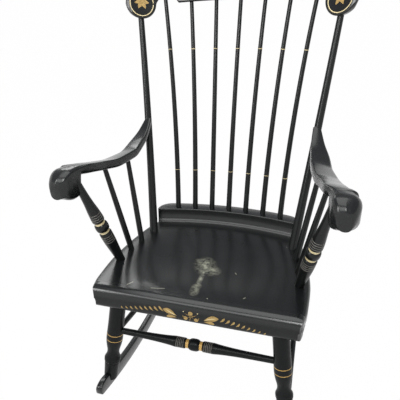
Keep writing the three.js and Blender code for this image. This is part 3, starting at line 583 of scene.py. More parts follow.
# %% The seat plank
SEAT_TOP = 352.0
SEAT_UNDERSIDE = 320.0
SEAT_BACK = 231.0
ROLL_DEPTH = 30.0
SEAT_EDGE_ROUND = 9.0
SEAT_HALF_WIDTHS = [
    (-229, 254), (-217, 261), (-200, 265), (-181, 268), (-98, 271), (-15, 264), (94, 243), (184, 212),
    (209, 203)]
DISH_DEPTH = 13.0
DISH_HALF_LENGTH = 165.0
DISH_CENTRE = -15.0
DISH_SIDE_SHARES = (0.3, 0.95)
BACK_CURVE_RADIUS = 880.0
SEAT_BEND_START = 120.0
SEAT_BACK_ANGLES = (25, 50, 70, 85)
SEAT_ACROSS = 44
SEAT_ALONG = 46


def seat_half_width(y):
    return curve_through(SEAT_HALF_WIDTHS, y)


def dish(x, y):
    share = (y - DISH_CENTRE) / DISH_HALF_LENGTH
    if abs(share) >= 1:
        return 0
    side = 1 - smooth_step(abs(x) / seat_half_width(y), *DISH_SIDE_SHARES)
    return DISH_DEPTH * side * (1 - share * share) ** 1.5


def back_sag(x):
    return BACK_CURVE_RADIUS - math.sqrt(BACK_CURVE_RADIUS**2 - x * x)


def seat_section(y, inset):
    """One section: its underside, the rounded edges and the dished top, bent to the back edge."""
    width = seat_half_width(min(y, SEAT_HALF_WIDTHS[-1][0]))
    low = SEAT_UNDERSIDE + inset
    high = SEAT_TOP - inset
    edge = SEAT_EDGE_ROUND
    bent = smooth_step(y, SEAT_BEND_START, SEAT_BACK)
    outline = [(x * (width - edge), low) for x in (-1, -0.5, 0, 0.5)]
    outline += arc((width - edge, low + edge), edge, -90, 0, 5)
    outline += arc((width - edge, high - edge), edge, 0, 90, 5)
    outline += [(x, high) for x in spread(width - edge, edge - width, SEAT_ACROSS)[1:-1]]
    outline += arc((edge - width, high - edge), edge, 90, 180, 5)
    outline += arc((edge - width, low + edge), edge, 180, 258, 4)
    ring = []
    for x, z in outline:
        depth = y - bent * back_sag(x)
        sunk = dish(x, depth) if z >= high else 0
        ring.append(spot(x, depth, z - sunk))
    return ring


def seat_sections():
    front = SEAT_FRONT + ROLL_DEPTH
    back = SEAT_BACK - SEAT_EDGE_ROUND
    sections = [seat_section(y, 0) for y in spread(front, back, SEAT_ALONG)]
    for angle in SEAT_BACK_ANGLES:
        reach = SEAT_EDGE_ROUND * math.sin(math.radians(angle))
        inset = SEAT_EDGE_ROUND * (1 - math.cos(math.radians(angle)))
        sections.append(seat_section(back + reach, inset))
    return sections


seat = extrude_through("shaped_seat_plank", seat_sections())
dress(seat, [seat_lacquer])
hand_over(seat, "seat_plank")
print("seat plank:", len(seat.data.polygons), "faces")

# %% [markdown]
# The rolled front edge is a moulding as long as the seat is wide. It carries the stencil. Its section
# is drawn in depth and height and repeated across the chair, and its ends follow the seat's corners.
# The end grain is closed by shrinking the section step by step along the side face, so no flat
# cap shows, and the part under the plank stands back a little, as on the chair.

# %% The rolled front edge
ROLL_BOTTOM = 292.0
ROLL_TOP_ROUND = 23.0
ROLL_LOW_ROUND = 15.0
ROLL_END_NOTCH = 3.0
ROLL_NOTCH_HALF = 1.0
ROLL_BACK_STEP = 5.0
ROLL_STEPS = 40
ROLL_END_SHARES = (0.93, 0.8, 0.6, 0.35, 0.1)


def roll_section():
    back = SEAT_FRONT + ROLL_DEPTH
    crown = (SEAT_FRONT + ROLL_TOP_ROUND, SEAT_TOP - ROLL_TOP_ROUND)
    belly = (SEAT_FRONT + ROLL_LOW_ROUND, ROLL_BOTTOM + ROLL_LOW_ROUND)
    notch_low = SEAT_UNDERSIDE - ROLL_NOTCH_HALF
    notch_high = SEAT_UNDERSIDE + ROLL_NOTCH_HALF
    section = [(back, notch_low), (back, notch_high)]
    section += [(back, SEAT_TOP - ROLL_BACK_STEP), (back, SEAT_TOP)]
    section += arc(crown, ROLL_TOP_ROUND, 90, 180, 12)
    section += [(SEAT_FRONT, notch_high), (SEAT_FRONT, notch_low)]
    section += arc(belly, ROLL_LOW_ROUND, 180, 270, 8)
    section.append((back, ROLL_BOTTOM))
    return section


def roll_side(y, z):
    """How far the roll reaches sideways at a depth and a height."""
    reach = seat_half_width(y)
    over = max(z - (SEAT_TOP - SEAT_EDGE_ROUND), 0)
    reach -= SEAT_EDGE_ROUND - math.sqrt(SEAT_EDGE_ROUND**2 - over**2)
    return reach - (ROLL_END_NOTCH if z < SEAT_UNDERSIDE else 0)


def roll_rings():
    section = roll_section()
    middle_depth = SEAT_FRONT + ROLL_DEPTH / 2
    middle_height = (SEAT_TOP + ROLL_BOTTOM) / 2

    def ring(side, size):
        points = []
        for y, z in section:
            shrunk_y = blend(middle_depth, y, size)
            shrunk_z = blend(middle_height, z, size)
            points.append(spot(side * roll_side(shrunk_y, shrunk_z), shrunk_y, shrunk_z))
        return points

    ends = [ring(-1, size) for size in reversed(ROLL_END_SHARES)]
    length = [ring(side, 1) for side in spread(-1, 1, ROLL_STEPS)]
    return ends + length + [ring(1, size) for size in ROLL_END_SHARES]


front_roll = extrude_through("shaped_seat_front_roll", roll_rings())
dress(front_roll, [roll_lacquer])
hand_over(front_roll, "seat_front_roll")
print("front roll:", len(front_roll.data.polygons), "faces")

# %% [markdown]
# Behind the sitter the seat rises in a coved strip, the riser, which holds the spindles. It is bent
# to a wide circle. Its section has a hollow front that catches the light, a crisp upper edge and a
# level top, and its ledge is rounded off at both ends.

# %% The riser
RISER_FRONT = 184.0
RISER_RADIUS = 833.0
RISER_HALF_WIDTH = 223.0
RISER_HEIGHT = 41.0
RISER_LEDGE = 45.0
RISER_COVE = 17.0
RISER_EDGE = 3.0
RISER_LEDGE_END = 180.0
RISER_COVE_STEPS = 10
RISER_STEPS = 56


def on_circle(radius, front, x, out):
    """A place on a bent member: x across, out behind its middle line, seen from above."""
    angle = math.asin(min(max(x / radius, -1), 1))
    return (radius + out) * math.sin(angle), front - radius + (radius + out) * math.cos(angle)


def riser_section(share):
    rounded = RISER_HALF_WIDTH - RISER_LEDGE_END
    end = max(abs(share) * RISER_HALF_WIDTH - RISER_LEDGE_END, 0) / rounded
    back = max(RISER_LEDGE * math.sqrt(max(1 - end * end, 0)), RISER_EDGE * 2.2)
    top = SEAT_TOP + RISER_HEIGHT
    cove_height = RISER_HEIGHT - RISER_EDGE
    section = []
    for angle in spread(0, math.pi / 2, RISER_COVE_STEPS):
        out = -RISER_COVE * (1 - math.sin(angle))
        section.append((out, SEAT_TOP + cove_height * (1 - math.cos(angle))))
    section += arc((RISER_EDGE, top - RISER_EDGE), RISER_EDGE, 160, 90, 3)
    section += arc((back - RISER_EDGE, top - RISER_EDGE), RISER_EDGE, 90, 0, 4)
    section.append((back, SEAT_TOP))
    return section


def riser_rings():
    rings = []
    for half_turn in spread(-0.5, 0.5, RISER_STEPS):
        share = math.sin(half_turn * math.pi)
        ring = []
        for out, z in riser_section(share):
            x, y = on_circle(RISER_RADIUS, RISER_FRONT, share * RISER_HALF_WIDTH, out)
            ring.append(spot(x, y, z))
        rings.append(ring)
    return rings


riser = extrude_through("shaped_back_riser", riser_rings())
dress(riser, [waxed_lacquer])
hand_over(riser, "back_riser")
print("riser:", len(riser.data.polygons), "faces")

# %% [markdown]
# ## The crest rail
# The crest is a board bent to a tighter circle than the riser. It leans back, its lower edge steps up
# before the outer spindles, its ends are oval ears over the posts, and its upper edge is rolled to the
# back. The sections run from ear to ear, so height, roll and thickness can all change along the way.

# %% The crest rail
CREST_FRONT = 342.0
CREST_RADIUS = 526.0
CREST_BASE = 996.0
CREST_LEAN = math.tan(math.radians(16))
CREST_THICKNESS = 22.0
CREST_TOP = 1102.0
CREST_SHOULDER_DROP = 7.5
CREST_SHOULDER = 196.0
CREST_ARCH = 6.0
CREST_STEP = (178.0, 188.0)
CREST_STEP_HEIGHT = 11.0
CREST_EAR_X = 277.0
CREST_EAR_HALF_WIDTH = 37.0
CREST_EAR_HALF_HEIGHT = 40.0
CREST_EDGE = 5.0
CREST_ROLL = 15.0
CREST_ROLL_RADIUS = 13.0
CREST_EAR_EASE = 10.0
CREST_TIP_LENGTH = 9.0
CREST_ROLL_FADE = (182.0, 243.0)
CREST_ROLL_LIP = 1.0
CREST_STATION_PITCH = 17.0
CREST_STATIONS = 11
CREST_STEP_STATIONS = [
    174, 178, 180, 182, 184, 186, 188, 192, 200, 208, 216, 222, 226, 229, 232, 235, 238]


def ear_half_height(reach):
    """Half the height of an ear's oval at a distance from the chair's middle."""
    share = (reach - CREST_EAR_X) / CREST_EAR_HALF_WIDTH
    return CREST_EAR_HALF_HEIGHT * math.sqrt(max(1 - share * share, 0))


def crest_top(x):
    reach = abs(x)
    ear_top = CREST_BASE + CREST_EAR_HALF_HEIGHT
    if reach > CREST_EAR_X:
        return CREST_BASE + ear_half_height(reach)
    shoulder_top = CREST_TOP - CREST_SHOULDER_DROP
    if reach > CREST_SHOULDER:
        rise = (CREST_EAR_X - reach) / (CREST_EAR_X - CREST_SHOULDER)
        return ear_top + (shoulder_top - ear_top) * rise * rise
    return CREST_TOP - CREST_SHOULDER_DROP * (reach / CREST_SHOULDER) ** 2


def crest_bottom(x):
    reach = abs(x)
    ear_inner = CREST_EAR_X - CREST_EAR_HALF_WIDTH
    raised = CREST_BASE + CREST_STEP_HEIGHT
    if reach > ear_inner:
        return CREST_BASE - ear_half_height(reach)
    if reach > CREST_STEP[1]:
        return raised - CREST_STEP_HEIGHT * smooth_step(reach, ear_inner - CREST_EAR_EASE, ear_inner)
    if reach > CREST_STEP[0]:
        return CREST_BASE + CREST_STEP_HEIGHT * smooth_step(reach, *CREST_STEP)
    return CREST_BASE + CREST_ARCH * (1 - (reach / CREST_STEP[0]) ** 2)


def crest_place(x, z, out):
    """A place on the crest: out is measured from its middle plane, which leans back."""
    across, depth = on_circle(CREST_RADIUS, CREST_FRONT, x, out + (z - CREST_BASE) * CREST_LEAN)
    return spot(across, depth, z)


def crest_section(x):
    low = crest_bottom(x)
    high = crest_top(x)
    ear_end = CREST_EAR_X + CREST_EAR_HALF_WIDTH
    tip = smooth_step(abs(x), ear_end - CREST_TIP_LENGTH, ear_end)
    thick = CREST_THICKNESS / 2 * (1 - tip * 0.6)
    rolled = 1 - smooth_step(abs(x), *CREST_ROLL_FADE)
    edge = min(CREST_EDGE, (high - low) / 2.4, thick * 0.9)
    upper = blend(edge, CREST_ROLL_RADIUS, rolled)
    back_out = thick + CREST_ROLL * rolled
    section = [(-thick, height) for height in spread(low + edge, high - upper, 8)]
    section += arc((upper - thick, high - upper), upper, 162, 90, 5)
    section += arc((back_out - upper, high - upper), upper, 90, -60 * rolled, 8)
    below = section[-1][1] - CREST_ROLL_RADIUS * rolled - CREST_ROLL_LIP
    section.append((blend(section[-1][0], thick, 0.6), blend(section[-1][1], below, 0.5)))
    section += [(thick, height) for height in spread(below, low + edge, 5)]
    section += arc((thick - edge, low + edge), edge, -18, -90, 4)
    section += arc((edge - thick, low + edge), edge, -90, -162, 4)
    return [crest_place(x, z, out) for out, z in section]


def crest_stations():
    """Places across half the crest, close together where its outline turns."""
    ear = [CREST_EAR_X - CREST_EAR_HALF_WIDTH * math.cos(math.radians(a)) for a in range(6, 175, 8)]
    ear.append(CREST_EAR_X + CREST_EAR_HALF_WIDTH * math.cos(math.radians(3)))
    middle = [step * CREST_STATION_PITCH for step in range(CREST_STATIONS)]
    half = middle + CREST_STEP_STATIONS + ear
    return [-x for x in reversed(half[1:])] + half


crest = extrude_through("shaped_crest_rail", [crest_section(x) for x in crest_stations()])
dress(crest, [board_lacquer])
hand_over(crest, "crest_rail")
print("crest:", len(crest.data.polygons), "faces")

# %% [markdown]
# ## Posts and back spindles
# These are steamed and bent, so a straight turning won't do. A disc is extruded along the bent middle
# line, and each step is set square to the line and given its radius. The posts follow a smooth curve
# from the seat to the ears. The seven spindles fan out, and each has two thin rings of cream paint,
# level with its neighbours': one low down and one towards the crest.

# %% Bent members
POST_FOOT = Vector((213.8, 86.0, 352.0))
POST_BEND = Vector((250.6, 198.0, 674.0))
POST_TOP = Vector((277.0, 254.0, 956.0))
POST_RADII = (12.5, 8.4)
POST_TENON = 24.0
SPINDLE_FOOT_PITCH = 53.6
SPINDLE_LUMBAR_PITCH = 56.5
SPINDLE_TOP_PITCH = 71.4
SPINDLE_LUMBAR = (226.0, 0.0006, 515.0)
SPINDLE_INSET = 20.0
SPINDLE_RADII = (8.4, 5.6)
SPINDLE_TENON = 16.0
SPINDLE_RINGS = (515.0, 871.0)
RING_HALF_WIDTH = 1.3
RING_PROUD = 0.35
RING_SHARES = (-1.1, -0.9, 0, 0.9, 1.1)
POST_STEPS = 34
POST_SIDES = 28
SPINDLE_STEPS = 44
SPINDLE_SIDES = 20


def bent_rings(path, sides):
    """Rings round a bent middle line of (place, radius) rows, each square to the line."""
    rings = []
    for index, (place, radius) in enumerate(path):
        before = path[max(index - 1, 0)][0]
        after = path[min(index + 1, len(path) - 1)][0]
        along = (after - before).normalized()
        across = (Vector((1, 0, 0)) - along * along.x).normalized()
        other = along.cross(across)
        ring = []
        for k in range(sides):
            angle = k / sides * math.tau
            point = place + (across * math.cos(angle) + other * math.sin(angle)) * radius
            ring.append(spot(*point))
        rings.append(ring)
    return rings


def on_post(t):
    """A place on the middle line of a post, at a share of its length."""
    return POST_FOOT * (1 - t) ** 2 + POST_BEND * (2 * t * (1 - t)) + POST_TOP * t * t


def post_path():
    path = [(on_post(share), blend(*POST_RADII, share)) for share in spread(0, 1, POST_STEPS)]
    foot_way = (POST_FOOT - POST_BEND).normalized()
    top_way = (POST_TOP - POST_BEND).normalized()
    path.insert(0, (POST_FOOT + foot_way * POST_TENON, POST_RADII[0]))
    path.append((POST_TOP + top_way * POST_TENON, POST_RADII[1]))
    return path


def spindle_place(k, z):
    """The middle line of spindle k at a height: a curve through its foot, lumbar bend and top."""
    foot_x, foot_y = on_circle(RISER_RADIUS, RISER_FRONT, k * SPINDLE_FOOT_PITCH, SPINDLE_INSET)
    lumbar_x = k * SPINDLE_LUMBAR_PITCH
    lumbar_y = SPINDLE_LUMBAR[0] - SPINDLE_LUMBAR[1] * lumbar_x**2
    top_x, top_y = on_circle(CREST_RADIUS, CREST_FRONT, k * SPINDLE_TOP_PITCH, 0)
    heights = (SEAT_TOP + RISER_HEIGHT, SPINDLE_LUMBAR[2], crest_bottom(k * SPINDLE_TOP_PITCH))
    place = Vector((0, 0, z))
    for index, (x, y) in enumerate(((foot_x, foot_y), (lumbar_x, lumbar_y), (top_x, top_y))):
        weight = 1.0
        for other, height in enumerate(heights):
            if other != index:
                weight *= (z - height) / (heights[index] - height)
        place += Vector((x, y, 0)) * weight
    return place


def spindle_path(k):
    low = SEAT_TOP + RISER_HEIGHT - SPINDLE_TENON
    high = crest_bottom(k * SPINDLE_TOP_PITCH) + SPINDLE_TENON
    heights = spread(low, high, SPINDLE_STEPS)
    for ring in SPINDLE_RINGS:
        heights += [ring + RING_HALF_WIDTH * share for share in RING_SHARES]
    path = []
    for z in sorted(heights):
        proud = any(abs(z - ring) < RING_HALF_WIDTH for ring in SPINDLE_RINGS)
        radius = blend(*SPINDLE_RADII, (z - low) / (high - low))
        path.append((spindle_place(k, z), radius + (RING_PROUD if proud else 0)))
    return path


post = extrude_through("shaped_back_post_right", bent_rings(post_path(), POST_SIDES))
dress(post, [turned_lacquer])
hand_over_pair(post, "back_post")
ring_bands = [(ring - RING_HALF_WIDTH, ring + RING_HALF_WIDTH, 1) for ring in SPINDLE_RINGS]
for number in range(1, 8):
    rings = bent_rings(spindle_path(number - 4), SPINDLE_SIDES)
    spindle = extrude_through(f"shaped_back_spindle_{number}", rings)
    dress(spindle, [turned_lacquer, cream_ring])
    paint_bands(spindle, ring_bands)
    hand_over(spindle, f"back_spindle_{number}")
print("two posts and seven spindles")

# %% [markdown]
# ## The arms
# Each arm is sawn from a thick board. It starts as a narrow blade against the post, swoops down and
# out, runs nearly level over its spindles, climbs again and rolls over in a heavy round scroll. The
# inner side stays flat, and the outer side of the scroll is rounded like a ball. The
# sections run from back to front, and tables give their middle, width and upper edge, and how far the
# outer edge hangs below the inner one.

# %% The arms
ARM_MIDDLES = [
    (-180, 317), (-160, 313), (-150, 309.5), (-135, 300), (-75, 290.7), (-5, 280), (62, 269),
    (112, 262.5), (150, 253.7), (180, 248)]
ARM_WIDTHS = [
    (-180, 60), (-160, 58), (-150, 56.5), (-135, 53), (-75, 52.7), (-5, 60), (62, 57), (112, 51),
    (150, 36.5), (180, 23)]
ARM_TOPS = [
    (-180, 647), (-150, 647), (-135, 645.5), (-75, 633), (-5, 622), (62, 623), (112, 639), (150, 660),
    (180, 684)]
ARM_DROPS = [
    (-180, 0), (-120, 4), (-80, 6), (-40, 8), (0, 12), (60, 15), (100, 16), (140, 12), (180, 4)]
ARM_THICKNESS = 24.0
ARM_TIP_THICKNESS = 20.0
KNOB_Y = -180.0
KNOB_Z = 609.0
KNOB_HALF_LENGTH = 41.0
KNOB_HALF_DEPTH = 38.0
SCROLL_BACK = -159.0
SCROLL_BEAD = (-172.0, 584.0, 10.0)
ARM_CORNER_INNER = 6.0
ARM_CORNER_OUTER = 8.0
KNOB_CORNER_INNER = 13.0
KNOB_CORNER_OUTER = 23.0
KNOB_FADE = (-170.0, -120.0)
ARM_TIP = (120.0, 180.0)
ARM_CROWN = 1.2
ARM_STEPS = 52
SCROLL_EASE = (-168.0, -155.0)
SCROLL_START = 6.0
SCROLL_OFFSETS = (4, 3, 2, 1, 0, -0.5, -1, -1.5, -3, -5, -8, -11, -14, -17, -20)
KNOB_ANGLES = (8, 16, 24, 32, 40, 48, 55, 61, 66, 71, 75, 79, 82, 84.5, 86.5, 88)


def knob_depth(y):
    share = min(abs(y - KNOB_Y) / KNOB_HALF_LENGTH, 1)
    return KNOB_HALF_DEPTH * math.sqrt(1 - share * share)


def arm_low(y):
    """The lower edge: parallel to the top, then down the back of the scroll and round it."""
    thickness = blend(ARM_THICKNESS, ARM_TIP_THICKNESS, smooth_step(y, *ARM_TIP))
    board = curve_through(ARM_TOPS, y) - thickness
    if y > SCROLL_EASE[1]:
        return board
    oval = KNOB_Z - knob_depth(y)
    bead_y, bead_z, bead_radius = SCROLL_BEAD
    if abs(y - bead_y) < bead_radius:
        oval = min(oval, bead_z - math.sqrt(bead_radius**2 - (y - bead_y) ** 2))
    return blend(min(oval, bead_z), board, smooth_step(y, *SCROLL_EASE))


def arm_section(y):
    forward = max(KNOB_Y - y, 0) / KNOB_HALF_LENGTH
    middle = curve_through(ARM_MIDDLES, y)
    width = curve_through(ARM_WIDTHS, y) * math.sqrt(1 - 0.8 * forward * forward)
    top = curve_through(ARM_TOPS, y) if forward == 0 else KNOB_Z + knob_depth(y)
    low = arm_low(y)
    inner = middle - width / 2
    outer = middle + width / 2
    limit = min(width, top - low) * 0.47
    knob = 1 - smooth_step(y, *KNOB_FADE)
    near = min(blend(ARM_CORNER_INNER, KNOB_CORNER_INNER, knob), limit)
    far = min(blend(ARM_CORNER_OUTER, KNOB_CORNER_OUTER, knob), limit)
    crown = min(ARM_CROWN, (top - low) * 0.03)
    outline = arc((inner + near, low + near), near, 180, 270, 5)
    outline += arc((outer - far, low + far), far, 270, 360, 6)
    outline += arc((outer - far, top - far), far, 0, 90, 7)
    for share in (0.25, 0.5, 0.75):
        rise = crown * (1 - (2 * share - 1) ** 2)
        outline.append((blend(outer - far, inner + near, share), top + rise))
    outline += arc((inner + near, top - near), near, 90, 180, 5)
    drop = curve_through(ARM_DROPS, y) / width
    return [spot(x, y, z - drop * (x - inner)) for x, z in outline]


def arm_stations():
    stations = spread(ARM_TIP[1], SCROLL_BACK + SCROLL_START, ARM_STEPS)
    stations += [SCROLL_BACK + offset for offset in SCROLL_OFFSETS]
    for angle in KNOB_ANGLES:
        stations.append(KNOB_Y - KNOB_HALF_LENGTH * math.sin(math.radians(angle)))
    return stations


arm = extrude_through("shaped_arm_right", [arm_section(y) for y in arm_stations()])
dress(arm, [arm_lacquer])
hand_over_pair(arm, "arm")
print("arm:", len(arm.data.polygons), "faces")

# %% [markdown]
# ## Turned members
# Legs, arm supports, stretchers and arm spindles come off a lathe. Each has a profile of (height,
# radius) rows. A smooth curve joins the rows, and fine grooves are cut into it afterwards. Bands
# between two heights are painted. So a leg can be read like a turner's pattern.

# %% Profiles and grooves
GROOVE_HALF_WIDTH = 0.9
GROOVE_DEPTH = 0.8
PROFILE_STEP = 5.0


def lathe_profile(rows, grooves=(), bands=()):
    """A full profile through a few rows, with fine grooves and the edges of painted bands."""
    heights = {height for height, radius in rows}
    steps = int(rows[-1][0] / PROFILE_STEP)
    heights |= {step * PROFILE_STEP for step in range(1, steps)}
    for low, high in bands:
        heights |= {low, high}
    for place in grooves:
        clear = GROOVE_HALF_WIDTH * 1.3
        heights = {height for height in heights if abs(height - place) > clear}
        heights |= {place - GROOVE_HALF_WIDTH, place, place + GROOVE_HALF_WIDTH}
    profile = []
    for height in sorted(heights):
        depth = GROOVE_DEPTH if height in grooves else 0
        profile.append((height, curve_through(rows, height) - depth))
    return profile


def groove_bands(grooves, index):
    return [(place - GROOVE_HALF_WIDTH, place + GROOVE_HALF_WIDTH, index) for place in grooves]


sample = lathe_profile([(0, 10), (40, 14), (80, 9)], (20.0, 26.0))
print("a short sample profile has", len(sample), "rows")

# %% [markdown]
# The rockers come before the legs, because each foot is slotted over one. A rocker is a long sawn
# curve of even thickness, slightly deeper at its front, with softened edges and a tapered nose. It
# touches the floor on a short flat under the chair's balance point.

# %% The rockers
ROCKER_X = 241.5
ROCKER_THICKNESS = 17.0
ROCKER_HEIGHT = 34.0
ROCKER_FRONT_RISE = 4.0
ROCKER_RADIUS = 1135.0
ROCKER_BALANCE = 41.5
ROCKER_REACH = (-290.5, 429.5)
ROCKER_END = 7.0
ROCKER_NOSE_LENGTH = 38.0
ROCKER_NOSE_DROP = 13.0
ROCKER_EDGE = 2.6
ROCKER_FLAT = 36.0
ROCKER_STEPS = 60
ROCKER_TIP_ROWS = (0.2, 1, 2.5, 5, 9)
ROCKER_NOSE_ROWS = (14, 19, 24, 30)
ROCKER_LONG_STRETCH = (-254.5, 417.5)
SLOT_GAP = 0.3


def rocker_bottom(y):
    level = ROCKER_RADIUS - math.sqrt(ROCKER_RADIUS**2 - ROCKER_FLAT**2)
    offset = y - ROCKER_BALANCE
    return max(ROCKER_RADIUS - math.sqrt(ROCKER_RADIUS**2 - offset**2) - level, 0)


def rocker_top(y):
    forward = max(ROCKER_BALANCE - y, 0) / (ROCKER_BALANCE - ROCKER_REACH[0])
    return rocker_bottom(y) + ROCKER_HEIGHT + ROCKER_FRONT_RISE * forward


def rocker_ring(y, grown):
    half = ROCKER_THICKNESS / 2 + grown
    low = rocker_bottom(y) - grown
    nose = max(1 - (y - ROCKER_REACH[0]) / ROCKER_NOSE_LENGTH, 0)
    high = rocker_top(y) + grown - ROCKER_NOSE_DROP * nose * nose
    to_end = min(y - ROCKER_REACH[0], ROCKER_REACH[1] - y)
    cut = ROCKER_END - math.sqrt(max(ROCKER_END**2 - max(ROCKER_END - to_end, 0) ** 2, 0))
    low += cut
    high -= cut
    edge = ROCKER_EDGE
    outline = arc((half - edge, low + edge), edge, -90, 0, 3)
    outline += arc((half - edge, high - edge), edge, 0, 90, 3)
    outline += arc((edge - half, high - edge), edge, 90, 180, 3)
    outline += arc((edge - half, low + edge), edge, 180, 270, 3)
    return [spot(ROCKER_X + x, y, z) for x, z in outline]


def rocker_rings(grown):
    front, back = ROCKER_REACH
    places = [front + offset for offset in (*ROCKER_TIP_ROWS, *ROCKER_NOSE_ROWS)]
    places += spread(*ROCKER_LONG_STRETCH, ROCKER_STEPS)
    places += [back - offset for offset in reversed(ROCKER_TIP_ROWS)]
    return [rocker_ring(y, grown) for y in places]


rocker = extrude_through("shaped_rocker_right", rocker_rings(0))
dress(rocker, [arm_lacquer])
hand_over_pair(rocker, "rocker")
print("rocker:", len(rocker.data.polygons), "faces")

# %% [markdown]
# A leg has a plain slotted foot, a sharp collar, a waist, a swelling with two ochre rings, and a long
# plain shank up to the seat. All legs lean outwards, the front pair forward and the rear pair back, so
# the upper end is trimmed level under the seat with a bisect. The slot is cut by a Boolean with a
# rocker that is a hair larger than the real one, which leaves the glue gap.

# %% The legs
LEG_ROWS = [
    (0, 15.6), (2, 17.6), (30, 19.2), (50, 20.2), (54.5, 20.4), (56, 19.4), (57.5, 21.2), (60.5, 22.0),
    (62.5, 20.8), (64, 22.2), (68, 22.0), (72, 20.2), (77, 18.0), (83, 16.6), (89, 16.2), (96, 17.0),
    (106, 19.2), (118, 21.3), (129, 22.1), (137, 22.3), (146, 22.1), (158, 21.6), (175, 21.2),
    (200, 21.0), (250, 21.0)]
LEG_RINGS = (129.0, 146.0)
LEG_RING_HALF = 0.9
LEG_TOP_GROOVE = 16.0
LEG_FRONT = ((241.5, -226.0), (207.0, -179.0))
LEG_REAR = ((241.5, 176.0), (200.0, 128.0))
LEG_FOOT_DROP = 20.0
LEG_SURPLUS = 24.0
LEG_HEAD_RADIUS = 21.2
LEG_SIDES = 40


def leg_line(foot, top):
    return (
        Vector((*foot, rocker_top(foot[1]) - LEG_FOOT_DROP)),
        Vector((*top, SEAT_UNDERSIDE)))


def trim_level(piece, height):
    """Cuts a piece off at a height and closes the cut."""
    only(piece)
    bpy.ops.object.mode_set(mode="EDIT")
    bpy.ops.mesh.select_all(action="SELECT")
    bpy.ops.mesh.bisect(
        plane_co=(0, 0, height * MM), plane_no=(0, 0, 1), use_fill=True, clear_outer=True)
    close_up(piece)


def cut_slot(piece, cutter):
    only(piece)
    cut = piece.modifiers.new("foot slot", "BOOLEAN")
    cut.operation = "DIFFERENCE"
    cut.solver = "EXACT"
    cut.object = cutter
    bpy.ops.object.modifier_apply(modifier=cut.name)


def make_leg(node, line):
    foot, top = line
    length = (top - foot).length
    rows = LEG_ROWS + [(length + LEG_SURPLUS, LEG_HEAD_RADIUS)]
    grooves = (length - LEG_TOP_GROOVE,)
    rings = [(place - LEG_RING_HALF, place + LEG_RING_HALF) for place in LEG_RINGS]
    profile = lathe_profile(rows, grooves, rings)
    piece = turn(f"shaped_{node}_right", profile, LEG_SIDES)
    dress(piece, [leg_lacquer, ochre_ring, groove_grey])
    paint_bands(piece, [(low, high, 1) for low, high in rings] + groove_bands(grooves, 2))
    stand_between(piece, spot(*foot), spot(*top))
    trim_level(piece, SEAT_UNDERSIDE - SLOT_GAP)
    cut_slot(piece, slot_cutter)
    hand_over_pair(piece, node)
    return piece


slot_cutter = extrude_through("slot_cutter", rocker_rings(SLOT_GAP))
front_line = leg_line(*LEG_FRONT)
rear_line = leg_line(*LEG_REAR)
front_leg = make_leg("leg_front", front_line)
make_leg("leg_rear", rear_line)
bpy.data.objects.remove(slot_cutter)
print("front leg:", len(front_leg.data.polygons), "faces")

# %% [markdown]
# Each foot is pinned through the rocker with a short dowel. Its ends are slightly domed and show as
# dots on the foot. Behind each post, a wood plug covers the screw that holds the arm.

# %% Foot pins and screw plugs
PIN_RADIUS = 3.0
PIN_REACH = 18.6
PLUG_RADIUS = 4.5
PLUG_LENGTH = 7.0
PLUG_SHARE = 0.485
PLUG_ANGLE = math.radians(31)
DOME = 0.8
DOWEL_SIDES = 20


def dowel(name, foot, top, radius):
    length = (top - foot).length
    rows = [
        (0, radius * 0.5), (DOME * 0.4, radius * 0.8), (DOME, radius), (length - DOME, radius),
        (length - DOME * 0.4, radius * 0.8), (length, radius * 0.5)]
    piece = turn(name, rows, DOWEL_SIDES)
    stand_between(piece, spot(*foot), spot(*top))
    dress(piece, [turned_lacquer])
    return piece


for node, (foot, top) in (("leg_pin_front", front_line), ("leg_pin_rear", rear_line)):
    height = foot.z + LEG_FOOT_DROP / 2
    depth = blend(foot.y, top.y, (height - foot.z) / (top.z - foot.z))
    inside = Vector((ROCKER_X - PIN_REACH, depth, height))
    outside = Vector((ROCKER_X + PIN_REACH, depth, height))
    hand_over_pair(dowel(f"shaped_{node}_right", inside, outside, PIN_RADIUS), node)

backwards = Vector((0, math.cos(PLUG_ANGLE), math.sin(PLUG_ANGLE)))
plug_out = on_post(PLUG_SHARE) + backwards * (blend(*POST_RADII, PLUG_SHARE) + DOME)
plug_foot = plug_out - backwards * PLUG_LENGTH
plug = dowel("shaped_arm_screw_plug_right", plug_foot, plug_out, PLUG_RADIUS)
hand_over_pair(plug, "arm_screw_plug")
print("four pins and two plugs")

# %% [markdown]
# An arm support swells from its foot, and at mid height carries a dark bead between two bands of
# cream paint, with a group of four fine grooves above and below. It tapers into the arm. The arm
# spindles are plain tapers.

# %% Arm supports and arm spindles
SUPPORT_FOOT = Vector((242.5, -90.5, 352.0))
SUPPORT_TOP = Vector((296.0, -172.0, 622.0))
SUPPORT_ROWS = [
    (-6, 11.3), (0, 11.5), (30, 13.2), (60, 15.4), (76, 16.4), (101, 16.8), (105, 16.6), (107.5, 14.8),
    (109, 13.6), (115, 13.6), (116.5, 14.8), (118.5, 17.0), (122.5, 17.8), (127, 18.1), (131.5, 17.8),
    (135.5, 17.0), (137.5, 14.8), (139, 13.6), (145, 13.6), (146.5, 14.8), (149, 16.2), (152, 16.5),
    (176, 15.2), (206, 12.2), (236, 10.4), (266, 9.7)]
SUPPORT_BANDS = ((109.0, 115.0), (139.0, 145.0))
SUPPORT_GROOVES = (79.0, 85.5, 92.0, 98.5, 154.5, 161.0, 167.5, 174.0)
ARM_SPINDLES = {
    "arm_spindle_front": (Vector((236.5, -33, 352)), Vector((286.4, -43, 606))),
    "arm_spindle_rear": (Vector((227, 20, 352)), Vector((266.4, 56, 606))),
}
ARM_SPINDLE_RADII = (8.4, 8.0, 6.4)
ARM_SPINDLE_TENON = 6.0
SUPPORT_TOP_RADIUS = 9.5
SUPPORT_SIDES = 36

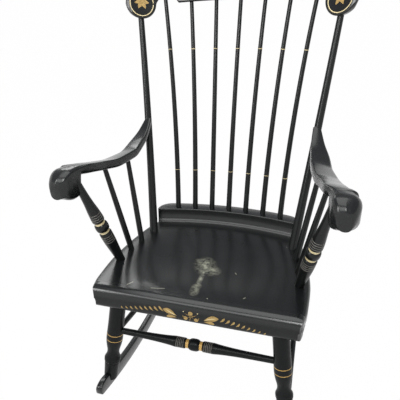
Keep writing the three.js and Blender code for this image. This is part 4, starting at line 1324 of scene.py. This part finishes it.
support_length = (SUPPORT_TOP - SUPPORT_FOOT).length
support_rows = SUPPORT_ROWS + [(support_length, SUPPORT_TOP_RADIUS)]
support = turn(
    "shaped_arm_support_right", lathe_profile(support_rows, SUPPORT_GROOVES, SUPPORT_BANDS),
    SUPPORT_SIDES)
dress(support, [turned_lacquer, cream_ring, groove_grey])
cream_bands = [(low, high, 1) for low, high in SUPPORT_BANDS]
paint_bands(support, cream_bands + groove_bands(SUPPORT_GROOVES, 2))
stand_between(support, spot(*SUPPORT_FOOT), spot(*SUPPORT_TOP))
hand_over_pair(support, "arm_support")

for node, (foot, top) in ARM_SPINDLES.items():
    length = (top - foot).length
    rows = list(zip((-ARM_SPINDLE_TENON, length * 0.4, length), ARM_SPINDLE_RADII))
    piece = turn(f"shaped_{node}_right", lathe_profile(rows), SPINDLE_SIDES)
    dress(piece, [turned_lacquer])
    stand_between(piece, spot(*foot), spot(*top))
    hand_over_pair(piece, node)
print("support length:", round(support_length, 1), "mm")

# %% [markdown]
# The front stretcher is the showpiece between the legs: slim ends, a long swell to each side of the
# middle with five fine grooves, an ochre band, and a dark bead in the centre. It is symmetrical, so
# half a profile is written and then reflected. The rear and side stretchers are plain.

# %% Stretchers
LEG_SHOULDER = 21.0
STRETCHER_TENON = 16.0
FRONT_STRETCHER_Z = 200.0
REAR_STRETCHER_Z = 150.0
SIDE_STRETCHER_Z = (186.0, 118.0)
STRETCHER_HALF = [
    (0, 15.6), (5, 15.5), (10, 14.4), (13, 12.4), (14.2, 11.6), (21.8, 11.6), (23, 12.6), (25, 13.6),
    (50, 13.8), (62, 12.6), (90, 10.6), (130, 9.2), (185, 8.5)]
STRETCHER_BANDS = ((14.5, 21.5),)
STRETCHER_GROOVES = (28.0, 32.5, 37.0, 41.5, 46.0)
STRETCHER_END_RADIUS = 8.2
PLAIN_RADII = (6.6, 7.0, 8.2)
PLAIN_TAPER = 20.0


def at_height(line, z):
    foot, top = line
    return foot.lerp(top, (z - foot.z) / (top.z - foot.z))


def across_chair(place):
    return Vector((-place.x, place.y, place.z))


def stretcher_ends(start, end):
    """A stretcher's ends inside the legs, a tenon's length beyond their skin."""
    inset = LEG_SHOULDER - STRETCHER_TENON
    along = (end - start).normalized()
    return start + along * inset, end - along * inset


def make_stretcher(name, ends, rows, grooves=(), bands=()):
    start, end = ends
    piece = turn(name, lathe_profile(rows, grooves, bands))
    dress(piece, [leg_lacquer, ochre_ring, groove_grey])
    paint_bands(piece, [(low, high, 1) for low, high in bands] + groove_bands(grooves, 2))
    stand_between(piece, spot(*start), spot(*end))
    return piece


def reflected(values, middle):
    return sorted({middle - value for value in values} | {middle + value for value in values})


front_end = at_height(front_line, FRONT_STRETCHER_Z)
front_ends = stretcher_ends(across_chair(front_end), front_end)
middle = (front_ends[1] - front_ends[0]).length / 2
front_rows = [(middle - place, radius) for place, radius in reversed(STRETCHER_HALF)]
front_rows += [(middle + place, radius) for place, radius in STRETCHER_HALF[1:]]
front_rows = [(0, STRETCHER_END_RADIUS)] + front_rows + [(middle * 2, STRETCHER_END_RADIUS)]
front_bands = [(middle - high, middle - low) for low, high in STRETCHER_BANDS]
front_bands += [(middle + low, middle + high) for low, high in STRETCHER_BANDS]
front_stretcher = make_stretcher(
    "shaped_front_stretcher", front_ends, front_rows, reflected(STRETCHER_GROOVES, middle), front_bands)
hand_over(front_stretcher, "front_stretcher")

rear_end = at_height(rear_line, REAR_STRETCHER_Z)
rear_ends = stretcher_ends(across_chair(rear_end), rear_end)
side_ends = stretcher_ends(
    at_height(front_line, SIDE_STRETCHER_Z[0]), at_height(rear_line, SIDE_STRETCHER_Z[1]))


def plain_rows(ends):
    length = (ends[1] - ends[0]).length
    tip, taper, belly = PLAIN_RADII
    return [
        (0, tip), (PLAIN_TAPER, taper), (length / 2, belly), (length - PLAIN_TAPER, taper), (length, tip)]


rear_stretcher = make_stretcher("shaped_rear_stretcher", rear_ends, plain_rows(rear_ends))
hand_over(rear_stretcher, "rear_stretcher")
side_stretcher = make_stretcher("shaped_side_stretcher_right", side_ends, plain_rows(side_ends))
hand_over_pair(side_stretcher, "side_stretcher")
print("front stretcher:", round(middle * 2, 1), "mm long")

# %% [markdown]
# ## The stencils
# Stencil work is a skin of paint a few hundredths of a millimetre thick. It is drawn here as thin
# solid strokes that stand nearly three tenths of a millimetre proud of the wood, so that they never
# flicker with it. A stroke is a line of (across, up, width) rows, and a surface rule says where that
# spot is on the chair. Leaves, balls and stems are all strokes whose width swells and fades.

# %% Strokes of paint on a surface
PAINT_PROUD = 0.28
PAINT_SUNK = -0.1
ACROSS_SHARES = (-1, -0.5, 0, 0.5, 1)
THINNEST = 0.12


def stroke(name, rows, surface):
    """A painted stroke through (across, up, width) rows on a surface of the chair."""
    rings = []
    for index, (u, v, width) in enumerate(rows):
        before = rows[max(index - 1, 0)]
        after = rows[min(index + 1, len(rows) - 1)]
        run = Vector((after[0] - before[0], after[1] - before[1])).normalized()
        half = max(width / 2, THINNEST)
        edge = [(u - run.y * half * share, v + run.x * half * share) for share in ACROSS_SHARES]
        ring = [surface(a, b, PAINT_PROUD) for a, b in edge]
        ring += [surface(a, b, PAINT_SUNK) for a, b in reversed(edge)]
        rings.append(ring)
    return extrude_through(name, rings)


def leaf(start, end, width, bend=0.0, fullest=0.45, steps=10):
    """Rows of a leaf between two spots: its widest place is a share of its length."""
    first = Vector(start)
    last = Vector(end)
    side = Vector((first.y - last.y, last.x - first.x)).normalized()
    rows = []
    for t in spread(0, 1, steps):
        centre = first.lerp(last, t) + side * bend * math.sin(math.pi * t)
        swell = math.sin(math.pi * t ** (math.log(0.5) / math.log(fullest)))
        rows.append((centre.x, centre.y, width * max(swell, 0) ** 0.8))
    return rows


def ball(centre, radius, steps=10):
    rows = []
    for step in range(steps + 1):
        turned = math.pi * step / steps
        rows.append((centre[0] - radius * math.cos(turned), centre[1], 2 * radius * math.sin(turned)))
    return rows


def paint_design(name, drawn, surface, material):
    """Draws all the strokes of one design and joins them into one piece."""
    strokes = [stroke(f"{name}_{number}", rows, surface) for number, rows in enumerate(drawn)]
    bpy.ops.object.select_all(action="DESELECT")
    for piece in strokes:
        piece.select_set(True)
    design = strokes[0]
    bpy.context.view_layer.objects.active = design
    bpy.ops.object.join()
    design.name = name
    design.data.name = name
    dress(design, [material])
    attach(design, "root")


print("a leaf of 30 mm has", len(leaf((0, 0), (30, 0), 8)), "rows")

# %% [markdown]
# The front roll carries a traditional pattern: a small flower of three balls in the middle, a big
# pointed leaf on each side with a lower one under it, and beyond them a row of slanted strokes that
# get smaller towards the ends. Two dots and the veins of the big leaves are touched in with cream.
# Places are millimetres across the chair and above the floor, on the roll's upright face.

# %% The stencil on the front roll
FLOWER_BALLS = [((1.2, 325.3), 5.6), ((-11.3, 309.6), 5.2), ((14.9, 308.4), 5.2)]
FLOWER_DOTS = [((-15.9, 328.5), 1.5), ((18.8, 328.4), 1.5)]
FLOWER_STEMS = [
    ((1.2, 320), (-1.5, 302), 1.3), ((-13.5, 323.5), (10, 312), 1.3), ((16.5, 323), (-6.5, 312), 1.3),
    ((-19, 317), (-15, 307), 1.2), ((22, 316), (19, 306), 1.2)]
BIG_LEAVES = [
    ((-33.5, 311), (-68, 325.5), 15.0, -2.5), ((-34, 307), (-60, 305), 9.5, -1.5),
    ((34, 311.5), (70, 323.5), 15.0, 2.5), ((34, 307.5), (60, 305), 9.5, 1.5)]
LEAF_VEINS = [((-36, 313), (-60, 326), 2.2), ((37, 313.5), (64, 323.5), 2.2)]
ROW_STROKES = 9
LEFT_ROW = ((-73.0, 326.0), (-177.0, 308.5))
RIGHT_ROW = ((79.0, 323.0), (177.0, 304.5))
ROW_LENGTHS = (17.0, 9.0)
ROW_WIDTHS = (5.4, 3.0)
ROW_BEND = 1.4
STEM_BEND = 0.6
VEIN_BEND = 0.5


def on_roll(x, z, out):
    """A spot on the roll's front: its upright face and the round below and above it."""
    depth = SEAT_FRONT
    belly = ROLL_BOTTOM + ROLL_LOW_ROUND
    crown = SEAT_TOP - ROLL_TOP_ROUND
    if z < belly:
        depth += ROLL_LOW_ROUND - math.sqrt(max(ROLL_LOW_ROUND**2 - (belly - z) ** 2, 0))
    if z > crown:
        depth += ROLL_TOP_ROUND - math.sqrt(max(ROLL_TOP_ROUND**2 - (z - crown) ** 2, 0))
    return spot(x, depth - out, z)


def stroke_row(row, side):
    """Slanted strokes along a line, fading towards the chair's side."""
    drawn = []
    for share in spread(0, 1, ROW_STROKES - 1):
        x = blend(row[0][0], row[1][0], share)
        z = blend(row[0][1], row[1][1], share)
        long = blend(*ROW_LENGTHS, share)
        wide = blend(*ROW_WIDTHS, share)
        start = (x - side * long * 0.36, z - long * 0.45)
        end = (x + side * long * 0.3, z + long * 0.35)
        drawn.append(leaf(start, end, wide, -side * ROW_BEND, 0.62, 8))
    return drawn


gold_work = [ball(*centre_and_radius) for centre_and_radius in FLOWER_BALLS]
gold_work += [leaf(start, end, width, STEM_BEND, 0.5, 6) for start, end, width in FLOWER_STEMS]
gold_work += [leaf(start, end, width, bend, 0.64, 12) for start, end, width, bend in BIG_LEAVES]
gold_work += stroke_row(LEFT_ROW, -1) + stroke_row(RIGHT_ROW, 1)
paint_design("stencil_on_the_roll", gold_work, on_roll, bronze_powder)


def on_gold(x, z, out):
    return on_roll(x, z, out + PAINT_PROUD)


cream_work = [ball(*dot, 8) for dot in FLOWER_DOTS]
cream_work += [leaf(start, end, width, VEIN_BEND, 0.5, 8) for start, end, width in LEAF_VEINS]
paint_design("cream_touches_on_the_roll", cream_work, on_gold, cream_ring)
print("strokes on the roll:", len(gold_work) + len(cream_work))

# %% [markdown]
# The crest has thin cream lines along its upper and lower edges, and each ear shows a seven-pointed
# gold leaf inside an oval line. Across the middle lies a spray of leaves and fruit of the usual kind,
# in the same hand as the roll's pattern.

# %% The stencils on the crest
LINE_INSET = 8.0
LINE_WIDTH = 2.1
STAR_POINTS = 7
STAR_REACH = 18.0
STAR_RAISE = 6.0
STAR_LEAF_WIDTH = 10.5
SPRAY_BEND = 2.0
LOWER_LINE_REACH = 170.0
UPPER_LINE_REACH = 188.0
SPRAY_LEAVES = [
    ((10, 1040), (46, 1056), 12.0), ((10, 1034), (44, 1022), 11.0), ((40, 1046), (82, 1066), 13.0),
    ((40, 1038), (80, 1024), 12.0), ((78, 1050), (122, 1066), 12.0), ((78, 1042), (118, 1030), 10.0),
    ((118, 1050), (154, 1060), 9.0), ((116, 1044), (148, 1034), 8.0)]
SPRAY_FRUIT = [((0, 1046), 10.0), ((-14, 1034), 6.5), ((14, 1034), 6.5), ((0, 1026), 6.0)]


def on_crest(x, z, out):
    return crest_place(x, z, -CREST_THICKNESS / 2 - out)


def oval_line(centre, half_width, half_height, steps):
    """A line round an ear, parallel to its outline."""
    rows = []
    for step in range(steps + 1):
        turned = math.radians(352) * step / steps
        across = centre[0] + half_width * math.cos(turned)
        rows.append((across, centre[1] + half_height * math.sin(turned), LINE_WIDTH))
    return rows


def line_along(edge, reach, inset, steps):
    """A line at a distance from one of the crest's edges."""
    return [(x, edge(x) + inset, LINE_WIDTH) for x in spread(-reach, reach, steps)]


def star(centre, side):
    """Pointed leaves that fan out from the middle of an ear."""
    drawn = []
    for number in range(STAR_POINTS):
        angle = math.radians(90 + side * 4) + number / STAR_POINTS * math.tau
        reach = STAR_REACH * (1 - 0.2 * math.sin(angle))
        tip = (centre[0] + reach * math.cos(angle), centre[1] + reach * math.sin(angle))
        drawn.append(leaf(centre, tip, STAR_LEAF_WIDTH, 0.0, 0.36, 8))
    return drawn


crest_work = []
crest_lines = []
for side in (-1, 1):
    ear = (side * CREST_EAR_X, CREST_BASE)
    half_width = CREST_EAR_HALF_WIDTH - LINE_INSET
    half_height = CREST_EAR_HALF_HEIGHT - LINE_INSET
    crest_lines.append(oval_line(ear, half_width, half_height, 52))
    crest_work += star((ear[0], ear[1] + STAR_RAISE), side)
crest_lines.append(line_along(crest_bottom, LOWER_LINE_REACH, LINE_INSET, 40))
crest_lines.append(line_along(crest_top, UPPER_LINE_REACH, -LINE_INSET - CREST_ROLL_RADIUS, 40))
for start, end, width in SPRAY_LEAVES:
    for side in (-1, 1):
        from_spot = (side * start[0], start[1])
        to_spot = (side * end[0], end[1])
        crest_work.append(leaf(from_spot, to_spot, width, side * SPRAY_BEND, 0.5))
crest_work += [ball(*fruit) for fruit in SPRAY_FRUIT]
paint_design("stencil_on_the_crest", crest_work, on_crest, bronze_powder)
paint_design("cream_lines_on_the_crest", crest_lines, on_crest, cream_ring)
print("strokes on the crest:", len(crest_work) + len(crest_lines))

# %% [markdown]
# The two arm screws stay as the frame has them, hidden in the wood, and only get their steel. Then
# come the floor, the light and the camera. The floor and a round wall far behind it are of pale paper.
# Seen directly, in gloss or through glass it glows white like a photographer's sweep, with only a
# trace of the chair's shadow left, and to all other light it is plain paper.

# %% Screws, floor and light
for name in ("arm_screw_right", "arm_screw_left"):
    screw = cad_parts[name]
    screw.data.materials.clear()
    screw.data.materials.append(screw_steel)

FLOOR_SIZE = 30.0
WALL_DISTANCE = 12.0
WALL_HEIGHT = 5.0
FLOOR_DROP = 0.0005
WALL_DROP = 0.001
PAPER = "#f4f4f3"
PAPER_SHADE = "#f1f1f0"
PAPER_CLOUD = 400.0
PAPER_GLOW = 0.99
WORLD_COLOUR = (0.95, 0.97, 1.0, 1.0)
WORLD_STRENGTH = 0.4
CHAIR_MIDDLE = (0, 0, 0.5)
LAMPS = [
    ("window_left", (-1.35, -1.7, 1.6), CHAIR_MIDDLE, (0.4, 0.9), 14),
    ("window_right", (0.45, -1.75, 2.0), CHAIR_MIDDLE, (0.45, 0.5), 10),
    ("pale_wall_in_front", (-0.35, -1.95, 2.1), CHAIR_MIDDLE, (1.5, 0.8), 12.5),
    ("pale_ceiling", (-0.1, -0.3, 2.4), (-0.1, -0.3, 0.5), (1.8, 1.8), 24),
    ("sky_behind", (-1.5, 1.7, 2.1), (0, 0, 0.4), (1.0, 0.7), 11),
]


def backdrop_paper():
    material = new_material("white_paper")
    fibres = noise(material, object_places(material), per_mm(PAPER_CLOUD), 2.0)
    tone = mix_colours(material, fibres, linear(PAPER_SHADE), linear(PAPER))
    plain = add_node(
        material, "ShaderNodeBsdfDiffuse", None, None, {"Color": tone})
    glow = add_node(
        material, "ShaderNodeEmission", None, {"Strength": 1.0, "Color": (1, 1, 1, 1)})
    rays = add_node(material, "ShaderNodeLightPath")
    direct_rays = ("Is Camera Ray", "Is Glossy Ray", "Is Transmission Ray")
    seen = strongest(material, [rays.outputs[ray] for ray in direct_rays])
    share = calculate(material, "MULTIPLY", seen, PAPER_GLOW)
    mixed = add_node(
        material, "ShaderNodeMixShader", None, None,
        {0: share, 1: plain.outputs["BSDF"], 2: glow.outputs["Emission"]})
    add_node(material, "ShaderNodeOutputMaterial", None, None, {"Surface": mixed.outputs["Shader"]})
    return material


bpy.ops.object.select_all(action="DESELECT")
bpy.ops.mesh.primitive_plane_add(size=FLOOR_SIZE, location=(0, 0, -FLOOR_DROP))
floor = bpy.context.active_object
floor.name = "paper_floor"
paper = backdrop_paper()
floor.data.materials.append(paper)
bpy.ops.object.select_all(action="DESELECT")
bpy.ops.mesh.primitive_cylinder_add(
    vertices=64, radius=WALL_DISTANCE, depth=WALL_HEIGHT, end_fill_type="NOTHING",
    location=(0, 0, WALL_HEIGHT / 2 - WALL_DROP))
wall = bpy.context.active_object
wall.name = "paper_wall"
wall.data.materials.append(paper)

world = bpy.data.worlds.new("pale room")
bpy.context.scene.world = world
world.use_nodes = True
background = world.node_tree.nodes["Background"]
background.inputs["Color"].default_value = WORLD_COLOUR
background.inputs["Strength"].default_value = WORLD_STRENGTH


def soft_lamp(name, place, target, size, power):
    """A rectangular soft box that faces a place on the chair, in metres and watts."""
    bpy.ops.object.select_all(action="DESELECT")
    bpy.ops.object.light_add(type="AREA", location=place)
    lamp = bpy.context.active_object
    lamp.name = name
    lamp.data.shape = "RECTANGLE"
    lamp.data.size, lamp.data.size_y = size
    lamp.data.energy = power
    aim = Vector(target) - Vector(place)
    lamp.rotation_euler = aim.to_track_quat("-Z", "Y").to_euler()


for lamp_row in LAMPS:
    soft_lamp(*lamp_row)
print("floor, wall, world and", len(LAMPS), "lamps")

# %% [markdown]
# The camera stands in front of the chair, a little to the right of its middle and just under a metre
# above the floor, and looks down at the seat. Its place and lens were worked out from where the
# corners, feet and joints appear.

# %% Camera
CAMERA_PLACE = (0.245, -1.0315, 0.9819)
CAMERA_YAW = math.radians(16.279)
CAMERA_PITCH = math.radians(65.0)
CAMERA_ROLL = math.radians(-1.187)
CAMERA_LENS = 37.115
CAMERA_SENSOR = 36.0

bpy.ops.object.camera_add(location=CAMERA_PLACE)
camera = bpy.context.active_object
camera.name = "view_of_the_chair"
turned = Matrix.Rotation(CAMERA_YAW, 4, "Z") @ Matrix.Rotation(CAMERA_PITCH, 4, "X")
turned = turned @ Matrix.Rotation(CAMERA_ROLL, 4, "Z")
camera.matrix_world = Matrix.Translation(CAMERA_PLACE) @ turned
camera.data.lens = CAMERA_LENS
camera.data.sensor_width = CAMERA_SENSOR
bpy.context.scene.camera = camera
bpy.context.scene.view_settings.view_transform = "Standard"
print("camera lens:", round(camera.data.lens, 2), "mm")
